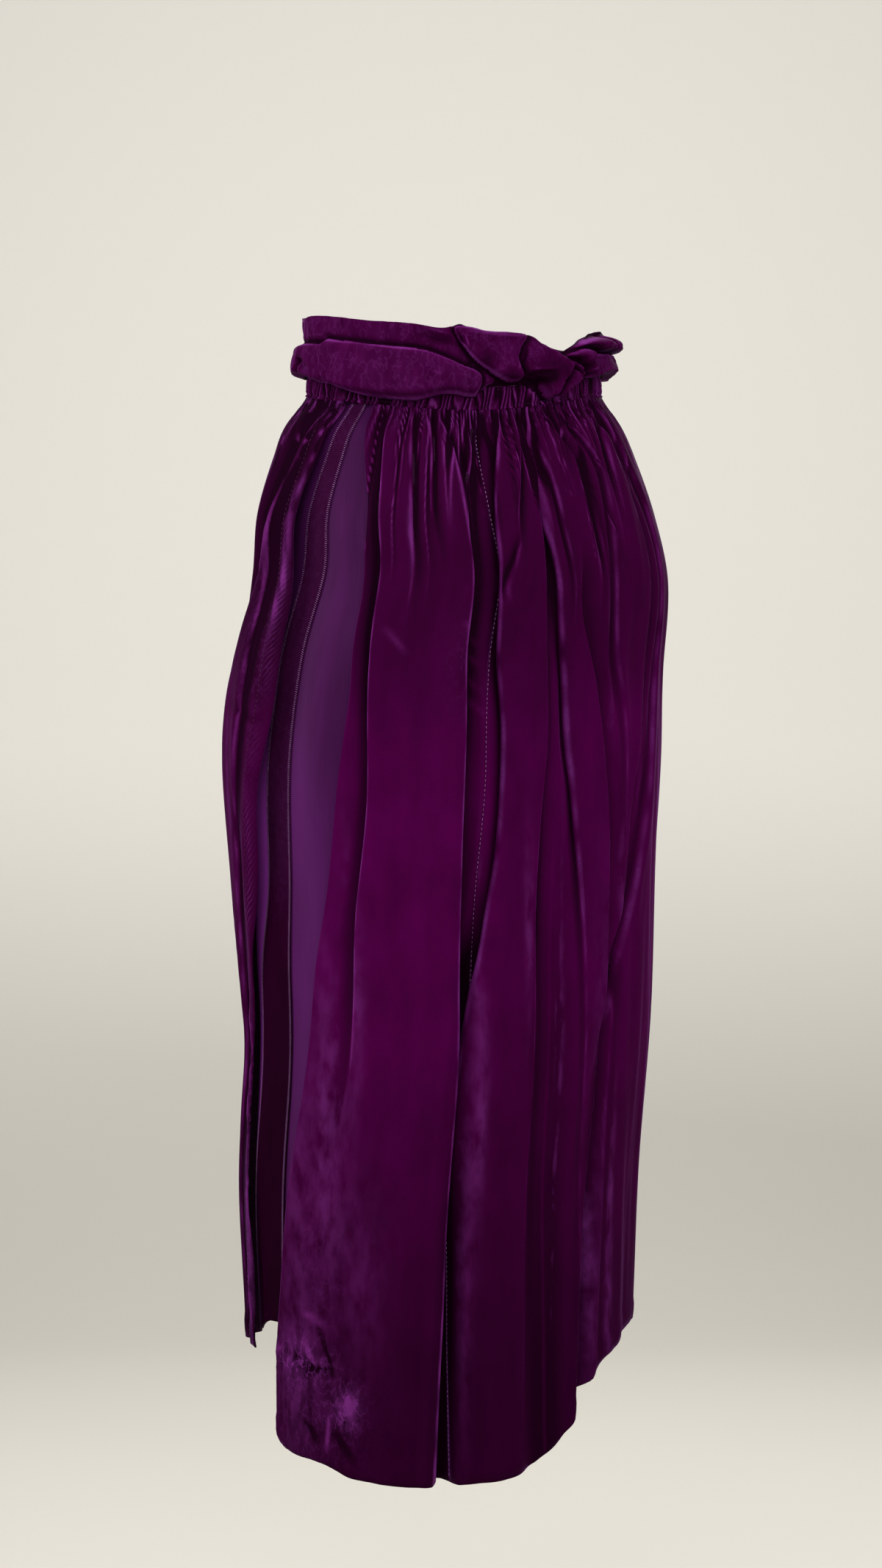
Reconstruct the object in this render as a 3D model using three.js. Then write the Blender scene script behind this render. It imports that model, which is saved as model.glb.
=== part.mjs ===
// Draped skirt: a midi skirt of silk velvet, gathered into a narrow shirred waist casing
// with a standing frill above it, open down the left side over a satin underlap,
// and cut lower at the back than at the front with rounded hem corners.
// Millimetres, +Z up. The origin is the middle of the waist casing, the front faces -Y.
// An azimuth of 0 degrees points to the front, 90 to the wearer's left and 180 to the back.
import * as THREE from 'three';

const rad = THREE.MathUtils.degToRad;
const mix = THREE.MathUtils.lerp;
const clamp = THREE.MathUtils.clamp;
const smooth = THREE.MathUtils.smoothstep;

// A table whose columns are named once, with a row of values for each section
function table(columns, rows) {
  return rows.map((row) => Object.fromEntries(columns.map((name, i) => [name, row[i]])));
}

// Cloth and seams
const VELVET = 1.5;
const SATIN = 1.2;
const SEAM_GAP = 0.3;

// Waist casing: its band height and full thickness with elastic. It dips at the back left, where
// a wide dip and a narrow one add up.
const CASING_HEIGHT = 16;
const CASING_THICK = 5;
const WIDE_DIP = 14;
const NARROW_DIP = 4;
const DIP_AZIMUTH = 145;
const CASING_GATHERS = 66;
const CASING_PUFF = 1.6;
const CASING_LEVELS = [
  { down: 0, proud: 0 },
  { down: 0.3, proud: 1 },
  { down: 0.7, proud: 1 },
  { down: 1, proud: 0 },
];
const DIP_FADE_FROM = -30;
const DIP_FADE_TO = -220;

// Usual radius of the waist, for the angle that a seam takes
const WAIST_RADIUS = 115;

// Waist gathers on the panels
const GATHER_DEPTH = 3;
const GATHER_DEPTH_AT_SEAM = 1.5;
const GATHER_GROW = 14;
const GATHER_LENGTH = 75;
const GATHER_LEAST = 0.6;
const GATHER_RANGE = 0.8;

// Usual drop of a panel, where the search for a point of its surface starts
const USUAL_DROP = -780;

// Side seam that lies out of the slit, on the wearer's right
const RIGHT_SEAM = 268;

// Underlap: its hem, how much lower that hangs at the front edge and between which azimuths,
// and the slight waves that it hangs in
const UNDERLAP_HEM = -684;
const UNDERLAP_HEM_FALL = 12;
const UNDERLAP_FALL_FROM = 72;
const UNDERLAP_FALL_TO = 88;
const UNDERLAP_WAVE = 1.5;
const UNDERLAP_WAVES = 14;
const UNDERLAP_WAVE_FROM = 20;
const UNDERLAP_WAVE_TO = 300;

// The band lies on the underlap between these two shares of its width
const BAND_FROM = 0.2;
const BAND_TO = 0.4;

// Ring of the drape at each height: half widths, and how far its middle drifts
const RINGS = [
  { z: -800, across: 147, deep: 121, driftX: 13, driftY: 0 },
  { z: -690, across: 151, deep: 124, driftX: 13, driftY: 0 },
  { z: -590, across: 156, deep: 126, driftX: 13, driftY: 0 },
  { z: -476, across: 161, deep: 125, driftX: 7.5, driftY: 3 },
  { z: -377, across: 169.5, deep: 126, driftX: 9, driftY: 2 },
  { z: -280, across: 177, deep: 128, driftX: 10, driftY: 2 },
  { z: -212, across: 175, deep: 126, driftX: 7, driftY: 4 },
  { z: -146, across: 169, deep: 122, driftX: -2, driftY: 7 },
  { z: -96, across: 161, deep: 118, driftX: 0, driftY: 4 },
  { z: -47, across: 144, deep: 108, driftX: 0, driftY: 1 },
  { z: -30, across: 136, deep: 102, driftX: 0, driftY: 0 },
  { z: -8, across: 119, deep: 90, driftX: 0, driftY: 0 },
  { z: 0, across: 117, deep: 88, driftX: 0, driftY: 0 },
  { z: 60, across: 117, deep: 88, driftX: 0, driftY: 0 },
];

// Hem height by azimuth: long at the back, short at the front, with rounded corners
const HEM = [
  { azimuth: 60, z: -703 },
  { azimuth: 78, z: -704 },
  { azimuth: 84, z: -716 },
  { azimuth: 88, z: -742 },
  { azimuth: 93, z: -766 },
  { azimuth: 99, z: -773 },
  { azimuth: 110, z: -778 },
  { azimuth: 119, z: -787 },
  { azimuth: 134, z: -791 },
  { azimuth: 150, z: -791 },
  { azimuth: 165, z: -790 },
  { azimuth: 175, z: -786 },
  { azimuth: 184, z: -777 },
  { azimuth: 190, z: -768 },
  { azimuth: 196, z: -751 },
  { azimuth: 203, z: -733 },
  { azimuth: 211, z: -717 },
  { azimuth: 220, z: -709 },
  { azimuth: 232, z: -700 },
  { azimuth: 250, z: -696 },
  { azimuth: 300, z: -692 },
  { azimuth: 400, z: -694 },
  { azimuth: 420, z: -703 },
  { azimuth: 438, z: -704 },
  { azimuth: 444, z: -706 },
];

// Azimuths of the slit's two edges, the back seam and the underlap's edges and band, and how
// far the underlap lies inside the panels, by height
const EDGES = table(
  ['z', 'slitBack', 'slitFront', 'backSeam', 'underFront', 'underBack', 'bandFront', 'bandBack', 'inset'],
  [
    [-800, 92, 82, 148, 66, 118, 70, 90, 9],
    [-700, 93, 82, 148, 67, 118, 71, 91.5, 9],
    [-640, 97.5, 83, 148.5, 72, 119, 77, 94, 9],
    [-530, 104, 80.5, 149, 75, 121, 82.5, 96, 9],
    [-440, 108, 85, 151.5, 79, 124, 85, 97, 10],
    [-375, 113, 92.5, 154, 85, 128, 91, 99.5, 12],
    [-300, 117, 95.5, 157, 88, 131, 93, 101, 14],
    [-245, 119, 99.5, 157, 89, 132, 95, 102.5, 14],
    [-180, 118, 99.5, 156, 90, 133, 96, 103.5, 14],
    [-140, 117.5, 98, 155.5, 91, 133, 97, 104.5, 14],
    [-100, 118, 98.5, 154.5, 92, 132, 98.5, 105, 13],
    [-20, 113, 103, 153.5, 92, 128, 105, 110, 3.5],
    [20, 113, 103, 153.5, 92, 128, 105, 110, 3.5],
  ],
);

// Heights at which the folds below are given
const FOLD_HEIGHTS = [-790, -600, -430, -260, -120, -20];

// Each fold is a turning edge with a valley beside it: side 1 has the valley towards higher
// azimuths, side -1 towards lower ones. Azimuth and width in degrees and depth in millimetres,
// from the hem up to the waist.
const FOLDS = [
  {
    name: 'slit flange', side: -1, width: 7,
    azimuth: [104, 113, 119, 123.5, 121, 119.5],
    depth: [0, 1, 4, 7, 5, 3],
  },
  {
    name: 'left tuck', side: 1, width: 5,
    azimuth: [131, 131, 131, 130.5, 129.5, 127.5],
    depth: [0, 0, 0, 0, 3, 5],
  },
  {
    name: 'short tuck', side: 1, width: 5,
    azimuth: [138, 138, 138, 138, 136.5, 132],
    depth: [0, 0, 0, 0, 2, 5],
  },
  {
    name: 'dart fold', side: 1, width: 6,
    azimuth: [146, 146, 146, 146, 145, 137.5],
    depth: [0, 0, 0, 0, 2, 6],
  },
  {
    name: 'main fold', side: 1, width: 10,
    azimuth: [141, 144.8, 146, 149, 145.8, 151.5],
    depth: [26, 20, 14, 10, 7, 4],
  },
  {
    name: 'centre fold', side: -1, width: 8,
    azimuth: [147, 149.5, 155, 164.5, 158.4, 165],
    depth: [0, 4, 9, 10, 8, 5],
  },
  {
    name: 'fork fold', side: 1, width: 5,
    azimuth: [166, 166, 166, 166, 166, 172],
    depth: [0, 0, 0, 0, 3, 5],
  },
  {
    name: 'right valley, left edge', side: 1, width: 6,
    azimuth: [175, 175, 175, 177.6, 174, 174],
    depth: [0, 0, 3, 8, 6, 4],
  },
  {
    name: 'right valley, right edge', side: -1, width: 7,
    azimuth: [197, 197, 196, 189, 178.6, 178],
    depth: [0, 0, 2, 7, 5, 3],
  },
  {
    name: 'soft ridge, left side', side: -1, width: 12,
    azimuth: [184, 181.5, 180.5, 182.5, 184, 184],
    depth: [6, 5, 4, 0, 0, 0],
  },
  {
    name: 'soft ridge, right side', side: 1, width: 12,
    azimuth: [184, 181.5, 180.5, 182.5, 184, 184],
    depth: [5, 5, 4, 0, 0, 0],
  },
  {
    name: 'slanting tuck', side: 1, width: 6,
    azimuth: [199, 199, 199, 198, 196.3, 187],
    depth: [0, 0, 0, 0, 5, 5],
  },
  {
    name: 'hip fold', side: 1, width: 9,
    azimuth: [196, 200, 206, 202.5, 190.5, 186],
    depth: [22, 13, 8, 6, 3, 0],
  },
  {
    name: 'right tuck', side: -1, width: 7,
    azimuth: [216, 216, 216, 216, 209.5, 196],
    depth: [0, 0, 0, 4, 6, 5],
  },
  {
    name: 'side fold', side: -1, width: 8,
    azimuth: [198, 203, 215.5, 234.5, 238, 226],
    depth: [0, 2, 7, 6, 4, 5],
  },
  {
    name: 'inner side fold', side: 1, width: 6,
    azimuth: [206, 206, 213, 225, 226, 220],
    depth: [0, 0, 3, 4, 2, 4],
  },
  {
    name: 'slit roll', side: -1, width: 11,
    azimuth: [426, 428, 430, 433, 446, 456],
    depth: [0, 0, 2, 5, 8, 3],
  },
  {
    name: 'front edge roll', side: 1, width: 8,
    azimuth: [430, 430, 434, 446, 448, 456],
    depth: [2, 2, 3, 3, 3, 0],
  },
];

// Share of a fold's width that its steep side takes, and the height below the casing over
// which the folds grow out of the gathers
const STEEP_SHARE = 0.4;
const FOLDS_GROW = 30;

// The front and the right side carry folds like those of the back, set out evenly and varied.
// The shares give their depth at each of the fold heights.
const SIDE_FOLDS = { first: 250, last: 422, count: 13, depth: 11, width: 9, sway: 5, swing: 1.1 };
const SIDE_DEPTH_SHARES = [1, 0.8, 0.7, 0.7, 0.5, 0.4];
const SIDE_DEPTH_VARIES = [true, false, true, false, false, false];

// Frill above the casing: out from the casing's face and up from its top at four levels
const FRILL = table(
  ['azimuth', 'lowOut', 'lowUp', 'midOut', 'midUp', 'grooveOut', 'grooveUp', 'topOut', 'topUp'],
  [
    [105, 9, 4, 12, 15, 5, 29, 8, 44],
    [117, 12, -4, 16, 8, 6, 26, 7, 43],
    [130, 13, -5, 17, 8, 6, 25, 6, 43],
    [142, 12, -3, 16, 8, 6, 22, 7, 45],
    [150, 10, -3, 12, 7, 5, 18, 6, 44],
    [156, 5, 4, 7, 11, 5, 22, 7, 44],
    [163, 8, 5, 15, 12, 13, 26, 9, 42],
    [170, 10, 4, 19, 11, 16, 25, 9, 40],
    [176, 4, 5, 7, 14, 9, 26, 12, 41],
    [182, 6, 3, 13, 9, 16, 20, 14, 33],
    [188, 13, -5, 18, 4, 18, 14, 15, 25],
    [194, 6, 3, 10, 8, 12, 14, 10, 20],
    [201, 6, 4, 9, 12, 12, 21, 12, 29],
    [208, 7, 4, 13, 12, 16, 23, 14, 34],
    [215, 5, 4, 8, 12, 12, 24, 12, 36],
    [223, 7, 4, 15, 12, 21, 23, 20, 34],
    [232, 7, 3, 15, 12, 21, 22, 19, 31],
    [241, 4, 5, 9, 12, 12, 21, 12, 29],
    [250, 6, 4, 12, 12, 13, 20, 12, 28],
    [262, 4, 5, 8, 11, 8, 18, 9, 25],
    [274, 7, 4, 13, 11, 14, 17, 13, 23],
    [286, 4, 5, 7, 12, 8, 19, 9, 27],
    [298, 7, 4, 13, 12, 15, 22, 14, 33],
  ],
);
const FRILL_NECK = { out: 3, up: 5 };
const FRILL_NECK_LEVEL = 0.9;

// Heights of the frill's wall as shares from its top edge down to the seam, and the shares
// that belong to the table's groove, middle and low columns
const FRILL_LEVELS = [0, 0.15, 0.3, 0.45, 0.6, 0.78, FRILL_NECK_LEVEL, 1];
const GROOVE_LEVEL = 0.3;
const MIDDLE_LEVEL = 0.6;
const LOW_LEVEL = 0.78;

// Round the front the frill stands in plain waves between these two shapes
const FRILL_CREST = {
  lowOut: 7, lowUp: 4, midOut: 13, midUp: 13, grooveOut: 16, grooveUp: 26, topOut: 15, topUp: 40,
};
const FRILL_DIP = {
  lowOut: 4, lowUp: 5, midOut: 6, midUp: 14, grooveOut: 6, grooveUp: 27, topOut: 7, topUp: 42,
};
const PLAIN_FRILL_WAVES = 8;
const PLAIN_WAVE_LEAST = 0.8;
const PLAIN_WAVE_RANGE = 0.4;

// Mesh steps
const PANEL_ROWS = [
  0, 0.014, 0.03, 0.05, 0.075, 0.105, 0.14, 0.185, 0.24, 0.3,
  0.37, 0.44, 0.52, 0.6, 0.68, 0.76, 0.84, 0.92, 1,
];
const LEFT_BACK_GATHERS = 13;
const RIGHT_BACK_GATHERS = 24;
const FRONT_GATHERS = 28;
const FRILL_COLUMNS = 124;
const UNDERLAP_COLUMNS = 10;
const UNDERLAP_ROWS = 12;

// A smooth curve through the rows of a table, one column against another
function curveOf(rows, xName, yName) {
  const x = rows.map((row) => row[xName]);
  const y = rows.map((row) => row[yName]);
  const slope = y.map((value, i) => {
    const before = Math.max(i - 1, 0);
    const after = Math.min(i + 1, y.length - 1);
    return (y[after] - y[before]) / (x[after] - x[before]);
  });
  return (at) => {
    const here = clamp(at, x[0], x[x.length - 1]);
    let i = 0;
    while (i < x.length - 2 && here > x[i + 1]) i += 1;
    const span = x[i + 1] - x[i];
    const t = (here - x[i]) / span;
    const a = (1 + 2 * t) * (1 - t) ** 2 * y[i] + t * t * (3 - 2 * t) * y[i + 1];
    return a + span * t * (1 - t) * ((1 - t) * slope[i] - t * slope[i + 1]);
  };
}

// A repeatable number between 0 and 1 for the small differences between gathers
function vary(index, salt) {
  const wave = Math.sin(index * 12.9898 + salt * 78.233) * 43758.5453;
  return wave - Math.floor(wave);
}

const ring = {
  across: curveOf(RINGS, 'z', 'across'),
  deep: curveOf(RINGS, 'z', 'deep'),
  driftX: curveOf(RINGS, 'z', 'driftX'),
  driftY: curveOf(RINGS, 'z', 'driftY'),
};
const hemHeight = curveOf(HEM, 'azimuth', 'z');
const edge = Object.fromEntries(
  Object.keys(EDGES[0]).map((name) => [name, curveOf(EDGES, 'z', name)]),
);

// Height of the casing's middle line, which dips at the back left
function casingLine(azimuth) {
  const away = rad(azimuth - DIP_AZIMUTH);
  return -WIDE_DIP * Math.cos(away) - NARROW_DIP * (1 + Math.cos(2 * away));
}

// Point on the drape's ring, moved out by a distance
function onRing(azimuth, z, out) {
  const dipShare = smooth(z, DIP_FADE_TO, DIP_FADE_FROM);
  const level = z - casingLine(azimuth) * dipShare;
  const x = Math.sin(rad(azimuth));
  const y = -Math.cos(rad(azimuth));
  const radius = 1 / Math.hypot(x / ring.across(level), y / ring.deep(level));
  return new THREE.Vector3(
    ring.driftX(level) + x * (radius + out),
    ring.driftY(level) + y * (radius + out),
    z,
  );
}

function makeSideFolds() {
  const { first, last, count, depth, width, sway, swing } = SIDE_FOLDS;
  return Array.from({ length: count }, (_, i) => {
    const middle = mix(first, last, i / (count - 1));
    const grow = 0.6 + 0.7 * vary(i, 1);
    return {
      name: `side fold ${i + 1}`,
      side: i < count / 2 ? 1 : -1,
      azimuth: FOLD_HEIGHTS.map((z, k) => middle + sway * (vary(i, 2) - 0.5) * Math.sin(k * swing + i)),
      depth: SIDE_DEPTH_SHARES.map((share, k) => depth * share * (SIDE_DEPTH_VARIES[k] ? grow : 1)),
      width: width * (0.8 + 0.4 * vary(i, 3)),
    };
  });
}

const folds = [...FOLDS, ...makeSideFolds()].map((fold) => {
  const rows = FOLD_HEIGHTS.map((z, i) => ({ z, azimuth: fold.azimuth[i], depth: fold.depth[i] }));
  return {
    side: fold.side,
    width: fold.width,
    azimuth: curveOf(rows, 'z', 'azimuth'),
    depth: curveOf(rows, 'z', 'depth'),
  };
});

// How far the folds push the cloth inwards here: steep at the turning edge, easy behind it
function foldDepth(azimuth, z) {
  let depth = 0;
  for (const fold of folds) {
    const reach = fold.side * (azimuth - fold.azimuth(z)) / fold.width;
    if (reach <= 0 || reach >= 1) continue;
    const valley = smooth(reach, 0, STEEP_SHARE) * (1 - smooth(reach, STEEP_SHARE, 1));
    depth += Math.max(fold.depth(z), 0) * valley;
  }
  return depth;
}

// Fine gathers where the cloth is drawn into the casing
function gatherDepth(index, below) {
  const whole = Math.round(index);
  const long = GATHER_LENGTH * (GATHER_LEAST + GATHER_RANGE * vary(whole, 4));
  const start = mix(GATHER_DEPTH_AT_SEAM, GATHER_DEPTH, clamp(below / GATHER_GROW, 0, 1));
  const fade = 1 - smooth(below, GATHER_GROW, long);
  return start * fade * (0.5 - 0.5 * Math.cos(index * 2 * Math.PI));
}

// One velvet panel between two edges: a point for a share across and a share down
function panelSurface(fromAzimuth, toAzimuth, gathers) {
  return (across, down) => {
    let z = mix(0, USUAL_DROP, down);
    let azimuth = 0;
    for (let pass = 0; pass < 4; pass += 1) {
      azimuth = mix(fromAzimuth(z), toAzimuth(z), across);
      const top = casingLine(azimuth) - CASING_HEIGHT / 2 - SEAM_GAP;
      z = mix(top, hemHeight(azimuth), down);
    }
    const below = casingLine(azimuth) - CASING_HEIGHT / 2 - z;
    const settle = smooth(below, 0, FOLDS_GROW);
    const inward = foldDepth(azimuth, z) * settle + gatherDepth(across * gathers, below);
    return onRing(azimuth, z, -inward);
  };
}

// The satin underlap lies inside both panels and hangs plain
function underlapPoint(azimuth, down, out) {
  const top = casingLine(azimuth) - CASING_HEIGHT / 2 - SEAM_GAP;
  const fall = 1 - smooth(azimuth, UNDERLAP_FALL_FROM, UNDERLAP_FALL_TO);
  const bottom = UNDERLAP_HEM - UNDERLAP_HEM_FALL * fall;
  const z = mix(top, bottom, down);
  const grow = smooth(top - z, UNDERLAP_WAVE_FROM, UNDERLAP_WAVE_TO);
  const wave = UNDERLAP_WAVE * Math.sin(rad(azimuth * UNDERLAP_WAVES)) * grow;
  return onRing(azimuth, z, out - edge.inset(z) + wave);
}

function underlapAzimuth(across, z) {
  if (across < BAND_FROM) return mix(edge.underFront(z), edge.bandFront(z), across / BAND_FROM);
  if (across < BAND_TO) {
    return mix(edge.bandFront(z), edge.bandBack(z), (across - BAND_FROM) / (BAND_TO - BAND_FROM));
  }
  return mix(edge.bandBack(z), edge.underBack(z), (across - BAND_TO) / (1 - BAND_TO));
}

function underlapSurface(out) {
  return (across, down) => {
    let z = mix(0, UNDERLAP_HEM, down);
    let azimuth = 0;
    for (let pass = 0; pass < 3; pass += 1) {
      azimuth = underlapAzimuth(across, z);
      z = underlapPoint(azimuth, down, out).z;
    }
    return underlapPoint(azimuth, down, out);
  };
}

// A closed wall over a surface given by shares across and down. The inner face lies one
// cloth thickness inside, measured square to the surface, and level with it at the ends
// that meet another piece.
function wall(surface, acrossSteps, downSteps, thick, ends) {
  const { closed = false, levelTop = false, levelBottom = false } = ends;
  const positions = [];
  const index = [];
  const small = 1e-3;
  const columns = acrossSteps.length;
  const rows = downSteps.length;
  for (const down of downSteps) {
    const level = (levelTop && down === 0) || (levelBottom && down === 1);
    for (const across of acrossSteps) {
      const here = surface(across, down);
      const along = surface(across + small, down).sub(surface(across - small, down));
      const fall = surface(across, down + small).sub(surface(across, down - small));
      const inward = along.cross(fall);
      if (level) inward.z = 0;
      inward.setLength(thick);
      positions.push(here, here.clone().add(inward));
    }
  }
  const at = (column, row, side) => 2 * (row * columns + (column % columns)) + side;
  const quad = (a, b, c, d) => index.push(a, b, c, a, c, d);
  const last = closed ? columns : columns - 1;
  for (let row = 0; row < rows - 1; row += 1) {
    for (let column = 0; column < last; column += 1) {
      const next = column + 1;
      quad(at(column, row, 0), at(column, row + 1, 0), at(next, row + 1, 0), at(next, row, 0));
      quad(at(column, row, 1), at(next, row, 1), at(next, row + 1, 1), at(column, row + 1, 1));
    }
  }
  for (let column = 0; column < last; column += 1) {
    const next = column + 1;
    quad(at(column, 0, 1), at(column, 0, 0), at(next, 0, 0), at(next, 0, 1));
    quad(at(column, rows - 1, 0), at(column, rows - 1, 1), at(next, rows - 1, 1), at(next, rows - 1, 0));
  }
  if (!closed) {
    for (let row = 0; row < rows - 1; row += 1) {
      quad(at(0, row, 0), at(0, row, 1), at(0, row + 1, 1), at(0, row + 1, 0));
      quad(at(last, row, 1), at(last, row, 0), at(last, row + 1, 0), at(last, row + 1, 1));
    }
  }
  const geometry = new THREE.BufferGeometry().setFromPoints(positions);
  geometry.setIndex(index);
  geometry.computeVertexNormals();
  return geometry;
}

const evenSteps = (count) => Array.from({ length: count + 1 }, (_, i) => i / count);
const ringSteps = (count) => Array.from({ length: count }, (_, i) => i / count);

// Angle kept free on each side of a seam, wide enough for the slanting sides of the folds
const HALF_SEAM = THREE.MathUtils.radToDeg(SEAM_GAP / WAIST_RADIUS);

function panel(fromAzimuth, toAzimuth, gathers) {
  const surface = panelSurface(fromAzimuth, toAzimuth, gathers);
  return wall(surface, evenSteps(gathers * 2), PANEL_ROWS, VELVET, { levelTop: true });
}

// Casing: two stitched rows pinch it, so it stands proud between them and at every gather
function casing() {
  const levels = CASING_LEVELS.map((level) => level.down);
  const proud = curveOf(CASING_LEVELS, 'down', 'proud');
  const surface = (share, down) => {
    const azimuth = share * 360;
    const z = casingLine(azimuth) + CASING_HEIGHT * (0.5 - down);
    const puff = 0.5 + 0.5 * Math.cos(share * CASING_GATHERS * 2 * Math.PI);
    return onRing(azimuth, z, CASING_PUFF * puff * proud(down));
  };
  const ends = { closed: true, levelTop: true, levelBottom: true };
  return wall(surface, ringSteps(CASING_GATHERS * 2), levels, CASING_THICK, ends);
}

function frillTable() {
  const rows = [...FRILL];
  const from = FRILL[FRILL.length - 1].azimuth;
  const to = FRILL[0].azimuth + 360;
  const count = PLAIN_FRILL_WAVES * 2;
  for (let i = 1; i < count; i += 1) {
    const shape = i % 2 ? FRILL_CREST : FRILL_DIP;
    const size = PLAIN_WAVE_LEAST + PLAIN_WAVE_RANGE * vary(i, 5);
    const row = { azimuth: mix(from, to, i / count) };
    for (const [name, value] of Object.entries(shape)) {
      row[name] = name.endsWith('Out') ? value * size : value;
    }
    rows.push(row);
  }
  const first = rows.slice(0, 3).map((row) => ({ ...row, azimuth: row.azimuth + 360 }));
  return [...rows, ...first];
}

function frill() {
  const sections = frillTable();
  const names = Object.keys(FRILL_CREST);
  const at = Object.fromEntries(names.map((name) => [name, curveOf(sections, 'azimuth', name)]));
  const surface = (share, down) => {
    const start = FRILL[1].azimuth;
    const azimuth = start + (((share % 1) + 1) % 1) * 360;
    const profile = [
      { level: 0, out: at.topOut(azimuth), up: at.topUp(azimuth) },
      { level: GROOVE_LEVEL, out: at.grooveOut(azimuth), up: at.grooveUp(azimuth) },
      { level: MIDDLE_LEVEL, out: at.midOut(azimuth), up: at.midUp(azimuth) },
      { level: LOW_LEVEL, out: at.lowOut(azimuth), up: at.lowUp(azimuth) },
      { level: FRILL_NECK_LEVEL, out: FRILL_NECK.out, up: FRILL_NECK.up },
      { level: 1, out: 0, up: SEAM_GAP },
    ];
    const out = curveOf(profile, 'level', 'out')(down);
    const up = curveOf(profile, 'level', 'up')(down);
    const point = onRing(azimuth, casingLine(azimuth), out);
    point.z = casingLine(azimuth) + CASING_HEIGHT / 2 + up;
    return point;
  };
  const ends = { closed: true, levelBottom: true };
  return wall(surface, ringSteps(FRILL_COLUMNS), FRILL_LEVELS, VELVET, ends);
}

function cloth(name, color, roughness) {
  return new THREE.MeshStandardMaterial({ name, color, roughness, metalness: 0 });
}

const velvet = cloth('velvet', 0x4a0c46, 0.85);
const satin = cloth('satin', 0x5d3370, 0.45);
const darkVelvet = cloth('dark velvet', 0x2c0a2c, 0.85);

const skirt = new THREE.Group();

function add(name, geometry, material) {
  const mesh = new THREE.Mesh(geometry, material);
  mesh.name = name;
  skirt.add(mesh);
}

const seamBefore = (z) => edge.backSeam(z) - HALF_SEAM;
const seamAfter = (z) => edge.backSeam(z) + HALF_SEAM;
const sideBefore = () => RIGHT_SEAM - HALF_SEAM;
const sideAfter = () => RIGHT_SEAM + HALF_SEAM;
const slitFront = (z) => edge.slitFront(z) + 360;
add('left_back_panel', panel(edge.slitBack, seamBefore, LEFT_BACK_GATHERS), velvet);
add('right_back_panel', panel(seamAfter, sideBefore, RIGHT_BACK_GATHERS), velvet);
add('front_panel', panel(sideAfter, slitFront, FRONT_GATHERS), velvet);
add('waist_casing', casing(), velvet);
add('waist_frill', frill(), velvet);

const underlapRows = evenSteps(UNDERLAP_ROWS);
const underlapColumns = evenSteps(UNDERLAP_COLUMNS);
const bandColumns = underlapColumns.slice(
  Math.round(BAND_FROM * UNDERLAP_COLUMNS),
  Math.round(BAND_TO * UNDERLAP_COLUMNS) + 1,
);
const bandOut = SEAM_GAP + VELVET;
const underlap = wall(underlapSurface(0), underlapColumns, underlapRows, SATIN, { levelTop: true });
add('underlap_panel', underlap, satin);
const band = wall(underlapSurface(bandOut), bandColumns, underlapRows, VELVET, { levelTop: true });
add('underlap_band', band, darkVelvet);

export default skirt;
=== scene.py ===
# A draped midi skirt of silk velvet, gathered into a shirred waist casing with a standing
# frill, and open down the left side over a satin underlap with a dark band.
import math

import bpy
import numpy as np
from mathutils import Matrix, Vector


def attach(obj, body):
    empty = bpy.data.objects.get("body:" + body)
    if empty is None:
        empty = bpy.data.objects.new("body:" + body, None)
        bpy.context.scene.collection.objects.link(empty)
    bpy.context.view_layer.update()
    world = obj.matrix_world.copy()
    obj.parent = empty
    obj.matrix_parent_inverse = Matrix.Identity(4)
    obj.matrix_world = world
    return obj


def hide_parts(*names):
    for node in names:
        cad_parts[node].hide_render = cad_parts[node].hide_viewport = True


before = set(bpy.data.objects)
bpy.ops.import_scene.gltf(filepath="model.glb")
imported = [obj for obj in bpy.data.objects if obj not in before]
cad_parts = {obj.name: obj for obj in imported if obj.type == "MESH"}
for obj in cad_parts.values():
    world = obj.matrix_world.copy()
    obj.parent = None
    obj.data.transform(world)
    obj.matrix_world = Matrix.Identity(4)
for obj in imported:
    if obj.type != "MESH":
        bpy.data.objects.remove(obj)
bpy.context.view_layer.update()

# Sizes are in millimetres and azimuths in degrees: 0 is the front, 90 the wearer's left and
# 180 the back. The origin is the middle of the waist casing.
MM = 0.001
VELVET_THICK = 1.2
SATIN_THICK = 0.6
SEAM_GAP = 0.3

# Round the hips one degree of azimuth is about this far
MM_PER_DEGREE = 2.6

# The camera stands level behind the wearer's left, as in the photograph
VIEW_AZIMUTH = 145
VIEW_DISTANCE = 2200
VIEW_ASIDE = -11
VIEW_HEIGHT = -298
FOCAL_PIXELS = 4000
PHOTO_HEIGHT_PIXELS = 2133
SENSOR_MM = 36

# Waist casing
CASING_HEIGHT = 16
WIDE_DIP = 14
NARROW_DIP = 4
DIP_AZIMUTH = 145
DIP_FADE = (-220, -30)
CASING_GATHERS = 132
CASING_PUFF = 2.3
SHIRRED_ROWS = (0.12, 0.88)
ROW_PINCH_WIDTH = 0.06

# Side seam out of the slit, on the wearer's right
RIGHT_SEAM = 268

# Underlap
UNDERLAP_HEM = -684
UNDERLAP_HEM_FALL = 12
UNDERLAP_WAVE = 1.5
BAND_SHARES = (0.2, 0.4)
# How much paler the satin's front strip is painted, as painted light
FRONT_STRIP_PAINTED_LIGHT = 0.8


def table(columns, rows):
    """Columns of numbers by name, from rows of values."""
    values = np.array(rows, dtype=float)
    return {name: values[:, i] for i, name in enumerate(columns.split())}


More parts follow.
